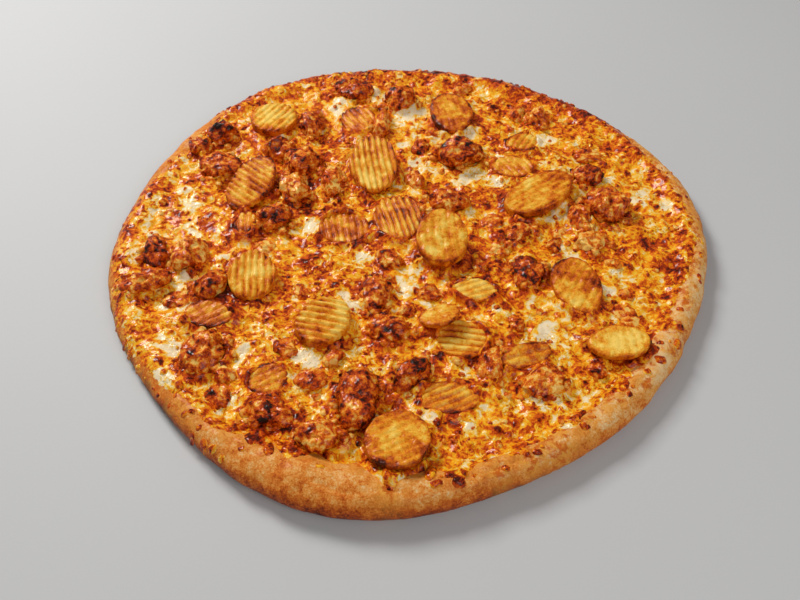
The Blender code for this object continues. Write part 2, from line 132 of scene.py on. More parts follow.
def flat(x, y):
    """Points in plan, for noise."""
    return np.column_stack([x, y, np.zeros_like(x)])


trial = waves(np.random.default_rng(1).uniform(0, 500, (5000, 3)), 10)
print("noise runs from", trial.min().round(2), "to", trial.max().round(2))

# %% [markdown]
# A disc could be cut into rings and spokes, but those crowd at its middle. Here a square sheet of
# quads is bent into the disc instead, ring by square ring, so that all cells keep the same area.
# The same sheet makes the cheese, the faces of each potato round and the skin of each chunk.

# %% Grids
def disc(count):
    """A count x count sheet on a disc: (distance from the middle 0 to 1, angle), as flat arrays.
    On the square ring at distance r the angle runs evenly, an eighth of a turn from a corner to the
    middle of a side."""
    side = np.linspace(-1, 1, count)
    a, b = (g.ravel() for g in np.meshgrid(side, side))
    wide = np.abs(a) > np.abs(b)
    safe_a, safe_b = np.where(a == 0, 1, a), np.where(b == 0, 1, b)
    r = np.where(wide, a, b)
    turn = np.where(wide, math.pi / 4 * b / safe_a, math.pi / 2 - math.pi / 4 * a / safe_b)
    turn = np.where(r < 0, turn + math.pi, turn)
    return np.abs(r), turn


def sheet_quads(rows, columns, around=False):
    """The quads of a sheet of points, row after row, facing up; around joins the last column to the
    first."""
    row, column = np.meshgrid(np.arange(rows - 1), np.arange(columns - (not around)), indexing="ij")
    here = (row * columns + column).ravel()
    beside = (row * columns + (column + 1) % columns).ravel()
    return np.column_stack([here, beside, beside + columns, here + columns])


def border(count):
    """The edge points of a count x count sheet, anticlockwise seen from above."""
    index = np.arange(count * count).reshape(count, count)
    return np.concatenate([index[0, :-1], index[:-1, -1], index[-1, :0:-1], index[:0:-1, 0]])


print("a 5 x 5 sheet has", len(sheet_quads(5, 5)), "quads and", len(border(5)), "edge points")

# %% [markdown]
# Blender can add a mesh face by face, but 1.3 million triangles would take minutes that way. Here
# whole arrays of points and corners go in at once. Each point also carries masks, numbers that say
# how baked, oily or deep the food is there, and the finishes read them by name.

# %% Pieces from arrays
def make_piece(name, points, quads, material, slot, stands_for=(), caps=(), **masks):
    """A smooth piece from points in mm, quads and many-sided caps, with a number for each point in
    each mask, riding on the pizza's one body."""
    mesh = bpy.data.meshes.new(name)
    corners = np.concatenate([quads.ravel(), *caps]).astype(np.int32)
    sizes = np.concatenate([np.full(len(quads), 4), [len(cap) for cap in caps]]).astype(np.int32)
    mesh.vertices.add(len(points))
    mesh.vertices.foreach_set("co", (points * MM).astype(np.float32).ravel())
    mesh.loops.add(len(corners))
    mesh.loops.foreach_set("vertex_index", corners)
    mesh.polygons.add(len(sizes))
    mesh.polygons.foreach_set("loop_start", np.concatenate([[0], np.cumsum(sizes)[:-1]]).astype(np.int32))
    mesh.update(calc_edges=True)
    mesh.shade_smooth()
    for mask, values in masks.items():
        layer = mesh.attributes.new(mask, "FLOAT", "POINT")
        layer.data.foreach_set("value", np.asarray(values, np.float32))
    mesh.materials.append(material)
    piece = bpy.data.objects.new(name, mesh)
    bpy.context.scene.collection.objects.link(piece)
    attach(piece, "root")
    if stands_for:
        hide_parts(*stands_for)
    return piece


def join_sheets(parts):
    """Several (points, quads, caps, masks) as one, for a piece made of many small lumps."""
    starts = np.cumsum([0] + [len(points) for points, *_ in parts[:-1]])
    points = np.vstack([part[0] for part in parts])
    quads = np.vstack([part[1] + start for part, start in zip(parts, starts)])
    caps = [cap + start for part, start in zip(parts, starts) for cap in part[2]]
    masks = {key: np.concatenate([part[3][key] for part in parts]) for key in parts[0][3]}
    return points, quads, caps, masks


def numbered(stem, kind, rows):
    """A table's rows by name: stem_01, stem_02 and so on."""
    return {f"{stem}_{number:02d}": kind(*row) for number, row in enumerate(rows, 1)}


# %% [markdown]
# The materials are built from a few kinds of node. This small helper adds a node, joins what it is
# given and hands back its output, so that each finish further down reads as a recipe: a level is the
# sum of masks and noise, and a colour ramp turns the level into dough, cheese, potato or chicken.

# %% Recipe helper for materials
FAT_GLOW = (0.9, 0.5, 0.25)
GLOW_DEPTH = 2


class Recipe:
    """One finish: a material, its shader, and the Object coordinates that every pattern reads."""

    def __init__(self, name, roughness, coat=0.0, coat_roughness=0.2, subsurface=0.0, shine=0.3):
        self.material = bpy.data.materials.new(name)
        self.material.use_nodes = True
        self.nodes = self.material.node_tree.nodes
        self.links = self.material.node_tree.links
        self.shader = self.nodes["Principled BSDF"]
        self.fill(self.shader, {
            "Roughness": roughness, "Specular IOR Level": shine, "Coat Weight": coat,
            "Coat Roughness": coat_roughness, "Subsurface Weight": subsurface,
            "Subsurface Radius": FAT_GLOW, "Subsurface Scale": GLOW_DEPTH * MM,
        })
        self.place = self.nodes.new("ShaderNodeTexCoord").outputs["Object"]

    def fill(self, node, inputs):
        """Links each input that is given an output, and sets the others."""
        for socket, value in inputs.items():
            if isinstance(value, bpy.types.NodeSocket):
                self.links.new(value, node.inputs[socket])
            else:
                node.inputs[socket].default_value = value

    def add(self, kind, inputs, **choices):
        """A new node of a kind, with its choices made and its inputs filled."""
        node = self.nodes.new(kind)
        for choice, value in choices.items():
            setattr(node, choice, value)
        self.fill(node, inputs)
        return node

    def mask(self, name):
        """A mask of the mesh, by its name."""
        return self.add("ShaderNodeAttribute", {}, attribute_name=name).outputs["Fac"]

    def noise(self, size, detail=3.0, roughness=0.55, distortion=0.0):
        """Noise from 0 to 1 with lumps of a size in mm."""
        return self.add("ShaderNodeTexNoise", {
            "Scale": 1 / (size * MM), "Detail": detail, "Roughness": roughness,
            "Distortion": distortion, "Vector": self.place,
        }).outputs["Fac"]

    def sum(self, start, *parts):
        """start + value * weight, for each part (value, weight)."""
        for value, weight in parts:
            start = self.add("ShaderNodeMath", {0: value, 1: weight, 2: start}, operation="MULTIPLY_ADD")
            start = start.outputs[0]
        return start

    def times(self, a, b):
        """a * b."""
        return self.add("ShaderNodeMath", {0: a, 1: b}, operation="MULTIPLY").outputs[0]

    def step(self, value, low, high):
        """0 below low and 1 above high, eased."""
        inputs = {"Value": value, "From Min": low, "From Max": high}
        return self.add("ShaderNodeMapRange", inputs, interpolation_type="SMOOTHSTEP").outputs["Result"]

    def between(self, share, low, high):
        """low + share * (high - low)."""
        inputs = {"Value": share, "To Min": low, "To Max": high}
        return self.add("ShaderNodeMapRange", inputs).outputs["Result"]

    def mix(self, share, a, b):
        """The colour a at share 0 and b at share 1."""
        return self.add("ShaderNodeMix", {0: share, 6: a, 7: b}, data_type="RGBA").outputs[2]

    def ramp(self, value, *stops):
        """A colour by a level from 0 to 1, through stops of (level, colour)."""
        node = self.add("ShaderNodeValToRGB", {"Fac": value})
        elements = node.color_ramp.elements
        for level, colour in stops:
            element = elements[0] if level == 0 else elements[-1] if level == 1 else elements.new(level)
            element.color = colour
        return node.outputs["Color"]

    def spots(self, size, reach, fray=1.0):
        """Frayed round spots, 1 in the middle and 0 from a reach on; size in mm, reach 0 to 1."""
        push = self.add("ShaderNodeTexNoise", {"Scale": 1 / (size * 0.6 * MM), "Vector": self.place})
        inputs = {0: push.outputs["Color"], 1: [fray * size * MM] * 3, 2: self.place}
        bent = self.add("ShaderNodeVectorMath", inputs, operation="MULTIPLY_ADD")
        inputs = {"Scale": 1 / (size * MM), "Vector": bent.outputs[0]}
        return self.step(self.add("ShaderNodeTexVoronoi", inputs).outputs["Distance"], reach, 0.0)

    def finish(self, colour, roughness, bump, depth):
        """Joins the recipe to the shader; depth is the bump's height in mm."""
        inputs = {"Strength": 1.0, "Distance": depth * MM, "Height": bump}
        normal = self.add("ShaderNodeBump", inputs).outputs["Normal"]
        self.fill(self.shader, {"Base Color": colour, "Roughness": roughness, "Normal": normal})
        return self.material


print("a finish glows", GLOW_DEPTH, "mm deep where it has any glow")

# %% [markdown]
# First the camera: half a metre away, looking down at 50 degrees. A view like this is set by three
# numbers, where it stands, how far down it looks and how long its lens is.

# %% Camera
CAMERA_AT = (-6.8, -350.7, 367.9)
CAMERA_DOWN = 49.71
LENS = 36.9

scene = bpy.context.scene
scene.view_settings.view_transform = "Standard"
camera = bpy.data.cameras.new("camera")
camera.lens = LENS
camera.sensor_width = 36
camera_object = bpy.data.objects.new("camera", camera)
camera_object.location = [v * MM for v in CAMERA_AT]
camera_object.rotation_euler = (math.radians(90 - CAMERA_DOWN), 0, 0)
scene.collection.objects.link(camera_object)
scene.camera = camera_object
print("camera", round(math.dist(CAMERA_AT, (0, 0, 12))), "mm from the pizza's middle")

# %% [markdown]
# One broad soft light comes from behind on the left, like a window, because light from behind models
# every ridge and puts a gloss on the cheese. A weaker one from the front and a pale surround fill
# the shadows.

# %% Light
def add_light(name, place, size, watts, colour):
    """A square light that faces the pizza's middle."""
    lamp = bpy.data.lights.new(name, "AREA")
    lamp.size = size
    lamp.energy = watts
    lamp.color = colour
    lamp_object = bpy.data.objects.new(name, lamp)
    lamp_object.location = place
    lamp_object.rotation_euler = (-lamp_object.location).to_track_quat("-Z", "Y").to_euler()
    scene.collection.objects.link(lamp_object)


WINDOW_WATTS = 20.5
FILL_WATTS = 7.5
SURROUND = 0.2
add_light("window", (-0.75, 0.85, 1.05), 0.5, WINDOW_WATTS, (1.0, 0.98, 0.93))
add_light("front_fill", (0.6, -0.9, 1.0), 0.9, FILL_WATTS, (1.0, 0.99, 0.95))
world = bpy.data.worlds.new("studio")
world.use_nodes = True
world.node_tree.nodes["Background"].inputs["Color"].default_value = (1.0, 0.98, 0.95, 1)
world.node_tree.nodes["Background"].inputs["Strength"].default_value = SURROUND
scene.world = world
print("the window is", round(WINDOW_WATTS / FILL_WATTS, 1), "times as strong as the fill")

# %% [markdown]
# The floor is plain and pale, wide enough that no view from low down sees its end.

# %% Floor
FLOOR_REACH = 40
floor_recipe = Recipe("pale_floor", 0.6)
floor_tone = floor_recipe.mix(floor_recipe.noise(260), paint(190, 191, 194), paint(195, 196, 199))
floor_material = floor_recipe.finish(floor_tone, 0.6, floor_recipe.noise(2), 0.02)
floor_mesh = bpy.data.meshes.new("floor")
floor_corners = [(x * FLOOR_REACH, y * FLOOR_REACH, 0) for x, y in ((-1, -1), (1, -1), (1, 1), (-1, 1))]
floor_mesh.from_pydata(floor_corners, [], [(0, 1, 2, 3)])
floor_mesh.materials.append(floor_material)
floor = bpy.data.objects.new("floor", floor_mesh)
scene.collection.objects.link(floor)
print("floor:", 2 * FLOOR_REACH, "m wide")

# %% [markdown]
# A hand-stretched pizza is never a true circle. Its edge is written as a circle with six long waves,
# and the rim as two tables round the edge: how wide the bare crust is, and how high it rose. These
# are the solids' own numbers, so that each surface below lies on the solid that it stands for.

# %% The crust's outline
MEAN_RADIUS = 179
OUTLINE_WAVES = ((1, 6.5, 137), (2, 2.0, 80), (3, 4.5, 46), (4, 1.0, 18), (5, 1.0, 207), (6, 1.5, 71))
OUTLINE_STEPS = 80
BARE_CRUST = (
    (0, 7), (15, 9), (25, 10), (40, 4), (60, 4), (90, 6), (117, 4), (133, 4), (145, 11), (153, 12),
    (163, 5), (180, 4), (213, 5), (227, 9), (234, 18), (243, 25), (252, 31), (261, 28), (271, 18),
    (290, 14), (302, 12), (316, 16), (338, 16), (350, 9),
)
CREST = (
    (0, 15), (40, 13), (90, 13), (135, 13), (180, 12), (215, 12), (235, 17), (255, 19), (280, 17), (330, 15),
)
RIM_WIDTH = 24
RIM_BEYOND_BARE = 9
CREST_SHARE = 0.42
WIDEST_SHARE = 0.42
FLOOR = 7.0


def outline_radius(angle):
    """Distance from the pole to the edge: the mean radius + size x cos(n angle - phase), each wave."""
    swing = sum(size * np.cos(n * angle - math.radians(phase)) for n, size, phase in OUTLINE_WAVES)
    return MEAN_RADIUS + swing


def round_the_rim(table, angle):
    """A size from a table of (angle in degrees, mm), joined smoothly round the rim."""
    degrees, sizes = np.array(table, float).T
    around = np.degrees(np.add.outer(angle, np.radians(4.0) * np.arange(-2, 3))) % 360
    return np.interp(around, degrees, sizes, period=360).mean(axis=-1)


def outline_middle():
    """The middle of the outline's box, half the sum of its least and greatest, along X and Y."""
    angle = np.arange(OUTLINE_STEPS) * math.tau / OUTLINE_STEPS
    x, y = outline_radius(angle) * np.cos(angle), outline_radius(angle) * np.sin(angle)
    return np.array([x.max() + x.min(), y.max() + y.min()]) / 2


MIDDLE = outline_middle()
print("outline's middle", MIDDLE.round(2), "mm from its pole")

# %% [markdown]
# Going inwards from its edge, the crust is a quarter of an ellipse up to the crest and then an eased
# slope down to the floor. Both the crust and the cheese on it read this one profile.

# %% The crust's profile
def rim_width(angle):
    """How far in the rim's slope ends: 24 mm, or the bare crust and 9 mm more where that is wider."""
    return np.maximum(RIM_WIDTH, round_the_rim(BARE_CRUST, angle) + RIM_BEYOND_BARE)


def crust_top(inset, angle):
    """Height at a distance in from the edge: crest x (w + (1 - w) sqrt(1 - (1 - t)^2)) up to the
    crest, t being the share of the way, then half a cosine down to the floor."""
    crest, rim = round_the_rim(CREST, angle), rim_width(angle)
    top_at = CREST_SHARE * rim
    up = np.sqrt(1 - (1 - np.clip(inset / top_at, 0, 1)) ** 2)
    down = 0.5 + 0.5 * np.cos(math.pi * np.clip((inset - top_at) / (rim - top_at), 0, 1))
    shoulder = crest * (WIDEST_SHARE + (1 - WIDEST_SHARE) * up)
    return np.where(inset < top_at, shoulder, FLOOR + (crest - FLOOR) * down)


def edge_place(x, y):
    """(distance in from the edge, angle) of points in plan."""
    px, py = x + MIDDLE[0], y + MIDDLE[1]
    angle = np.arctan2(py, px)
    return outline_radius(angle) - np.hypot(px, py), angle


front = math.radians(-90)
print("front rim:", rim_width(front).round(1), "mm wide,", round_the_rim(CREST, front).round(1), "high")

# %% [markdown]
# The crust itself is that profile carried round the edge, 900 steps in a turn, with the underside
# rounded in and closed flat. A baked skin has broad swells, small bubbles and a fine pitted grain,
# which are three sizes of noise. Where the dough was pressed it has creases that follow the rim.
# Oil stains the dough beside the cheese, and it ran right over the rim in eight places.

# %% The crust's relief
EDGE_ZONE = 9
FLATTER_AT_EDGE = 0.7


def crust_relief(points, inset, angle):
    """Swells of 24, 12 and 6 mm noise, a grain of 2.4 mm noise, bubbles and pits that are domes
    1 - (distance / radius)^2 of cell noise, and creases, dips exp(-(distance / 1.3)^2) from a line
    that follows the rim."""
    swells = 1.0 * waves(points, 24, 20) + 0.8 * waves(points, 12, 21) + 0.3 * waves(points, 6, 25)
    grain = 0.16 * rough(points, 2.4, 2, 27)
    away, owner = cells(points, 9, 31)
    bubbles = 0.5 * np.clip(1 - (away / (1.2 + 2.6 * owner)) ** 2, 0, 1) * (owner > 0.6)
    away, owner = cells(points, 6, 33)
    pits = -0.5 * np.clip(1 - (away / (0.5 + 0.7 * owner)) ** 2, 0, 1) * (owner > 0.7)
    line = 12 + 4 * np.sin(2 * angle + 1) + 2.5 * waves(points, 22, 35)
    crease = -0.7 * np.exp(-(((inset - line) / 1.3) ** 2)) * ease(0, 0.5, waves(points, 30, 37))
    return swells + grain + bubbles + pits + crease


def crust_height(x, y, keep=1.0):
    """The crust's top as seen from above: its profile and a share of its relief."""
    inset, angle = edge_place(x, y)
    top = crust_top(inset, angle)
    relief = crust_relief(np.column_stack([x, y, top]), inset, angle)
    return top + keep * relief * (1 - FLATTER_AT_EDGE * ease(EDGE_ZONE, 0, inset))


print("the front rim's top is", crust_height(np.zeros(1), np.array([-163.0])).round(1), "mm high")

# %% [markdown]
# The crust is laid as rings of points from the foot, round under the edge, over the crest and down
# to the floor. The rings are closest at the edge, where the form turns fastest.

# %% The crust's rings
CRUST_STEPS = 900
FOOT_INSET = 8
CRUST_INSETS = np.concatenate([np.linspace(0, 1, 19)[1:] ** 1.6 * 14, np.linspace(14.8, 44, 44)])
FOOT_TURNS = np.radians(np.linspace(90, 0, 8))


def crust_rings():
    """(points of the plain form, inset, angle), ring after ring: the foot's inset is 8 (1 - cos t)
    and its height (1 - sin t) x that of the widest place, then the profile."""
    angle = np.arange(CRUST_STEPS) * math.tau / CRUST_STEPS
    crest = round_the_rim(CREST, angle)
    foot = [FOOT_INSET * (1 - np.cos(t)) * np.ones_like(angle) for t in FOOT_TURNS]
    foot_z = [WIDEST_SHARE * crest * (1 - np.sin(t)) for t in FOOT_TURNS]
    insets = np.array(foot + [inset * np.ones_like(angle) for inset in CRUST_INSETS])
    heights = np.array(foot_z + [crust_top(inset, angle) for inset in CRUST_INSETS])
    turn = np.broadcast_to(angle, insets.shape)
    radius = outline_radius(turn) - insets
    x, y = radius * np.cos(turn) - MIDDLE[0], radius * np.sin(turn) - MIDDLE[1]
    return np.column_stack([x.ravel(), y.ravel(), heights.ravel()]), insets.ravel(), turn.ravel()


plain_crust, crust_inset, crust_turn = crust_rings()
print("crust:", len(plain_crust) // CRUST_STEPS, "rings of", CRUST_STEPS, "points")

# %% [markdown]
# Four masks tell the finish where the crust is what: low on the side, where it is toasted most and
# also painted darker as shade; on the right, where it stayed pale; baked and oiled in patches; and
# stained beside the cheese and where oil ran over the rim.

# %% The crust's masks
SIDE_RINGS = 6
PALE_TOWARDS = math.radians(-12)
OilRun = namedtuple("OilRun", "x y size")
OIL_RUNS = [OilRun(*row) for row in (
    (71, -148, 9), (56, -153, 7), (147, -72, 9), (140, -86, 5), (41, -160, 6), (122, -108, 5),
    (155, -52, 7), (-12, -170, 7),
)]


def crust_masks(points, inset, turn, plain_height):
    """side: 1 - height / crest, eased, below the crest; pale: the cosine from the pale side + noise;
    bake: noise + where the rim is narrow; stain: past the cheese's edge + noise, or near an oil run,
    exp(-(distance / size)^2)."""
    ring = np.arange(len(points)) // CRUST_STEPS
    below_crest = ring < len(FOOT_TURNS) + SIDE_RINGS
    # side: darker low on the crust's side, partly toasting and partly painted shade.
    side = ease(1.0, 0.25, plain_height / round_the_rim(CREST, turn)) * below_crest
    pale = ease(0.4, 1.0, np.cos(turn - PALE_TOWARDS) + 0.2 * waves(points, 30, 43))
    oiled = ease(12, 5, round_the_rim(BARE_CRUST, turn) + 2.5 * waves(points, 12, 45))
    bake = 0.7 * waves(points, 24, 41) + 0.45 * waves(points, 9, 42) + 1.4 * oiled
    stain = ease(-12, 0, inset - round_the_rim(BARE_CRUST, turn) + 5 * rough(points, 10, 3, 47))
    away = [np.hypot(points[:, 0] - run.x, points[:, 1] - run.y) / run.size for run in OIL_RUNS]
    stain = np.maximum(stain, 1.3 * np.exp(-np.min(away, axis=0) ** 2))
    return {"side": side, "pale": pale, "bake": bake, "stain": stain}


on_the_crust = crust_masks(plain_crust, crust_inset, crust_turn, plain_crust[:, 2])
print("masks' means:", {mask: round(float(values.mean()), 2) for mask, values in on_the_crust.items()})

# %% [markdown]
# Dough goes through one row of colours as it bakes, from cream through gold and orange-brown to
# burnt. So the finish is one level and one colour ramp, and oil and sauce are laid over it.

# %% The crust's finish
def crust_material():
    """Golden dough, more toasted in places, darker low on the side by toasting and painted shade,
    paler and floury on the right, with a fine brown freckle."""
    r = Recipe("baked_dough", 0.5, coat=0.1, coat_roughness=0.25, subsurface=0.05, shine=0.15)
    grain = r.noise(1.0, 4, 0.8)
    blotch = r.noise(5, 5, 0.75)
    # The side mask's darkening is partly painted shade.
    level = r.sum(
        -0.98, (blotch, 1.45), (grain, 1.15), (r.mask("bake"), 0.2), (r.mask("side"), 0.45),
        (r.mask("pale"), -0.28), (r.spots(2.6, 0.3), 0.2),
    )
    colour = r.ramp(
        level, (0, paint(248, 206, 148)), (0.2, paint(242, 168, 80)), (0.38, paint(231, 132, 40)),
        (0.58, paint(204, 94, 18)), (0.8, paint(152, 56, 8)), (1, paint(86, 28, 5)),
    )
    stained = r.mix(r.times(r.mask("stain"), r.step(blotch, 0.36, 0.62)), colour, paint(243, 172, 68))
    redness = r.sum(-0.35, (r.mask("stain"), 0.8), (r.noise(3.2, 4, 0.7), 3.0))
    reddened = r.mix(r.step(redness, 1.7, 2.3), stained, paint(214, 106, 20))
    return r.finish(reddened, r.between(blotch, 0.34, 0.62), r.sum(grain, (blotch, 0.8)), 0.7)


print("dough's mid tone in linear light:", [round(share, 2) for share in paint(231, 132, 40)[:3]])

# %% [markdown]
# Now the rings are lifted by the relief, joined by quads and closed by two flat caps, one under the
# pizza and one under the cheese. Near the edge the relief pushes outwards more than up.

# %% The crust
FULL_RELIEF_AT = 5
OUTWARD_SHARE = 0.8
MOST_OUTWARD = 0.4


def build_crust(material):
    """The rings + their relief, which fades in from the floor to 5 mm up, with masks and caps."""
    points = plain_crust.copy()
    lift = crust_relief(plain_crust, crust_inset, crust_turn)
    share = np.clip(plain_crust[:, 2] / FULL_RELIEF_AT, 0, 1)
    outward = np.column_stack([np.cos(crust_turn), np.sin(crust_turn)])
    near_edge = ease(EDGE_ZONE, 0, crust_inset)
    points[:, 2] += lift * share * (1 - FLATTER_AT_EDGE * near_edge)
    points[:, :2] += outward * (np.minimum(lift, MOST_OUTWARD) * share * OUTWARD_SHARE * near_edge)[:, None]
    index = np.arange(len(points)).reshape(-1, CRUST_STEPS)
    quads = sheet_quads(len(index), CRUST_STEPS, around=True)[:, ::-1]
    masks = crust_masks(points, crust_inset, crust_turn, plain_crust[:, 2])
    caps = [index[0], index[-1][::-1]]
    return make_piece("baked_crust_skin", points, quads, material, "baked_crust", ["crust"], caps, **masks)


crust_piece = build_crust(crust_material())
print("crust:", len(crust_piece.data.polygons), "faces")

# %% [markdown]
# The toppings stay where they are listed: each has a place, a size and a turn, the same as its
# solid. The cheese needs to know them first, since it sags under them and climbs their sides. The
# rows are numbered from the back to the front, sizes are in mm and turns in degrees.

# %% Where the toppings lie
Round = namedtuple("Round", "x y length width turn ridges thick crinkle tilt faces lift")
ROUNDS = numbered("potato", Round, (
    (29, 118, 40, 31, 95, 100, 6, 0.15, 4, 270, 1),
    (-36, 115, 29, 25, 90, 120, 5, 0.6, 0, 270, 0),
    (-94, 112, 34, 31, 60, 60, 8, 0.6, 0, 270, 1),
    (76, 89, 23, 17, 10, 60, 4.5, 0.4, 8, 270, 0),
    (67, 64, 28, 23, 0, 120, 5, 0.5, 0, 270, 0),
    (-24, 60, 44, 32, 90, 100, 6, 1.1, 12, 270, 1.5),
    (-101, 43, 46, 27, 66, 140, 6, 0.9, 10, 250, 1.5),
    (81, 35, 52, 31, 40, 38, 7, 0.3, 5, 130, 1.5),
    (-8, 16, 40, 32, 100, 105, 5.5, 1.1, 0, 270, 0),
    (-102, 11, 21, 14, 92, 95, 5, 0.8, 8, 180, 0),
    (-41, 8, 32, 28, 0, 100, 5, 0.6, 0, 270, 0),
    (18, -10, 38, 31, 82, 95, 6, 0.18, 12, 290, 5.5),
    (-92, -35, 33, 28, 95, 92, 6, 0.9, 10, 270, 1),
    (94, -42, 40, 29, 103, 60, 6, 0.3, 6, 270, 0.5),
    (36, -42, 27, 17, -10, 20, 4.5, 0.5, 0, 270, 0),
    (-114, -61, 28, 18, -5, 30, 4.5, 0.4, 10, 270, 0),
    (15, -67, 24, 17, 20, 20, 4.5, 0.3, 14, 120, 5.5),
    (-49, -69, 33, 30, 60, 165, 8, 0.9, 4, 200, 1),
    (27, -78, 30, 27, 0, 170, 5, 0.9, 0, 270, 0),
    (111, -83, 34, 23, 0, 90, 5, 0.2, 0, 270, 0),
    (61, -90, 30, 13, 18, 18, 4.5, 0.3, 16, 290, 0),
    (-76, -104, 22, 20, 30, 30, 4.5, 0.3, 0, 270, 0),
    (18, -116, 32, 21, 0, 25, 4.5, 0.55, 0, 270, -0.5),
    (-8, -144, 36, 33, 75, 30, 5.5, 0.4, 0, 270, 0.5),
))
Chunk = namedtuple("Chunk", "x y length width turn height seed")
CHUNKS = numbered("chicken", Chunk, (
    (-39, 148, 30, 20, 0, 11, 7),
    (-6, 134, 23, 20, 20, 15, 8),
    (89, 115, 17, 14, 90, 10, 11),
    (-67, 108, 25, 17, 100, 12, 6),
    (-20, 107, 24, 12, 80, 12, 57),
    (-127, 96, 19, 17, 30, 12, 1),
    (-141, 84, 16, 12, 80, 9, 2),
    (-88, 80, 20, 18, 0, 13, 4),
    (33, 75, 34, 25, 5, 15, 9),
    (-124, 65, 29, 23, -20, 12, 3),
    (-70, 65, 27, 23, 20, 15, 5),
    (115, 54, 19, 16, 0, 10, 15),
    (-50, 48, 26, 15, 95, 11, 20),
    (-74, 41, 24, 20, 80, 13, 21),
    (23, 30, 26, 19, 5, 11, 18),
    (122, 24, 30, 27, 60, 15, 13),
    (104, 16, 25, 14, 95, 10, 14),
    (-85, 15, 24, 19, 20, 12, 22),
    (64, 4, 21, 14, 30, 9, 62),
    (108, -5, 20, 16, 0, 8, 16),
    (-151, -14, 25, 16, 105, 11, 23),
    (-133, -16, 26, 22, 80, 12, 24),
    (67, -30, 24, 20, 70, 10, 41),
    (-153, -38, 28, 16, 20, 8, 25),
    (-116, -40, 23, 19, 30, 11, 26),
    (-20, -46, 27, 18, 80, 10, 30),
    (-13, -72, 24, 17, 0, 9, 31),
    (-112, -88, 28, 25, 60, 12, 27),
    (44, -93, 24, 15, 70, 9, 36),
    (-1, -103, 30, 14, 52, 12, 33),
    (68, -106, 24, 18, 20, 10, 37),
    (-29, -120, 38, 22, 85, 16, 32),
    (-73, -125, 28, 15, -20, 8, 35),
    (-47, -141, 22, 18, 0, 8, 34),
))
print("toppings:", len(ROUNDS), "rounds of potato and", len(CHUNKS), "chunks of chicken")

# %% [markdown]
# The cheese lies on the crust's profile, thin where it ends on the rim and full on the floor. A
# topping rests on a plane that follows the cheese's own slope there; a round that leans is tilted
# about its low edge.

# %% The cheese's level and the toppings' seats
CHEESE_THICK = 4.6
CHEESE_EDGE_THICK = 1.3
CHEESE_SWELL = 0.7
SWELL_ALONG_X = 21
SWELL_ALONG_Y = 17
BED_SINK = 1.5
BED_ALLOWANCE = 1.7


def cheese_level(x, y):
    """Crust + thickness + a slow swell, sin(x) cos(y), that fades out at the rim."""
    inset, angle = edge_place(x, y)
    bare = round_the_rim(BARE_CRUST, angle)
    full = np.clip((inset - bare) / (rim_width(angle) - bare), 0, 1)
    thick = CHEESE_EDGE_THICK + (CHEESE_THICK - CHEESE_EDGE_THICK) * full
    swell = CHEESE_SWELL * np.sin(x / SWELL_ALONG_X + 1) * np.cos(y / SWELL_ALONG_Y) * full
    return crust_top(inset, angle) + thick + swell


def axes_of(turn):
    """The unit vectors along a turn in degrees and a quarter turn on from it, in plan."""
    a = math.radians(turn)
    return np.array([math.cos(a), math.sin(a)]), np.array([-math.sin(a), math.cos(a)])


def bed_of(topping, count=12):
    """(height at the middle, slope along X, slope along Y) of the plane under a topping: the least
    squares slope of the cheese round its outline, sunk a little, and above the crust everywhere."""
    along, across = axes_of(topping.turn)
    turn = np.arange(count) * math.tau / count
    ring_along = np.outer(np.cos(turn), along) * topping.length / 2
    ring_across = np.outer(np.sin(turn), across) * topping.width / 2
    offsets = np.vstack([[0, 0], ring_along + ring_across])
    x, y = topping.x + offsets[:, 0], topping.y + offsets[:, 1]
    level = cheese_level(x, y)
    slope = np.linalg.lstsq(offsets[1:], level[1:] - level[1:].mean(), rcond=None)[0]
    needed = crust_top(*edge_place(x, y)) + BED_ALLOWANCE - offsets @ slope
    return np.array([max(level.mean() - BED_SINK, needed.max()), slope[0], slope[1]])


def reach(topping, direction):
    """How far a topping's ellipse reaches along a direction, sqrt((a cos)^2 + (b sin)^2)."""
    along, across = axes_of(topping.turn)
    return math.hypot(topping.length * (direction @ along), topping.width * (direction @ across)) / 2


def seat_of(topping):
    """A round's bed, raised and tilted about its low edge by the tangent of its tilt."""
    height, slope_x, slope_y = bed_of(topping)
    downhill, _ = axes_of(topping.faces)
    lean = math.tan(math.radians(topping.tilt))
    height += topping.lift + lean * reach(topping, downhill)
    return np.array([height, slope_x - lean * downhill[0], slope_y - lean * downhill[1]])


SEATS = {name: seat_of(t) for name, t in ROUNDS.items()} | {name: bed_of(t) for name, t in CHUNKS.items()}
print("rounds sit", round(min(s[0] for s in SEATS.values()), 1), "mm up or higher")
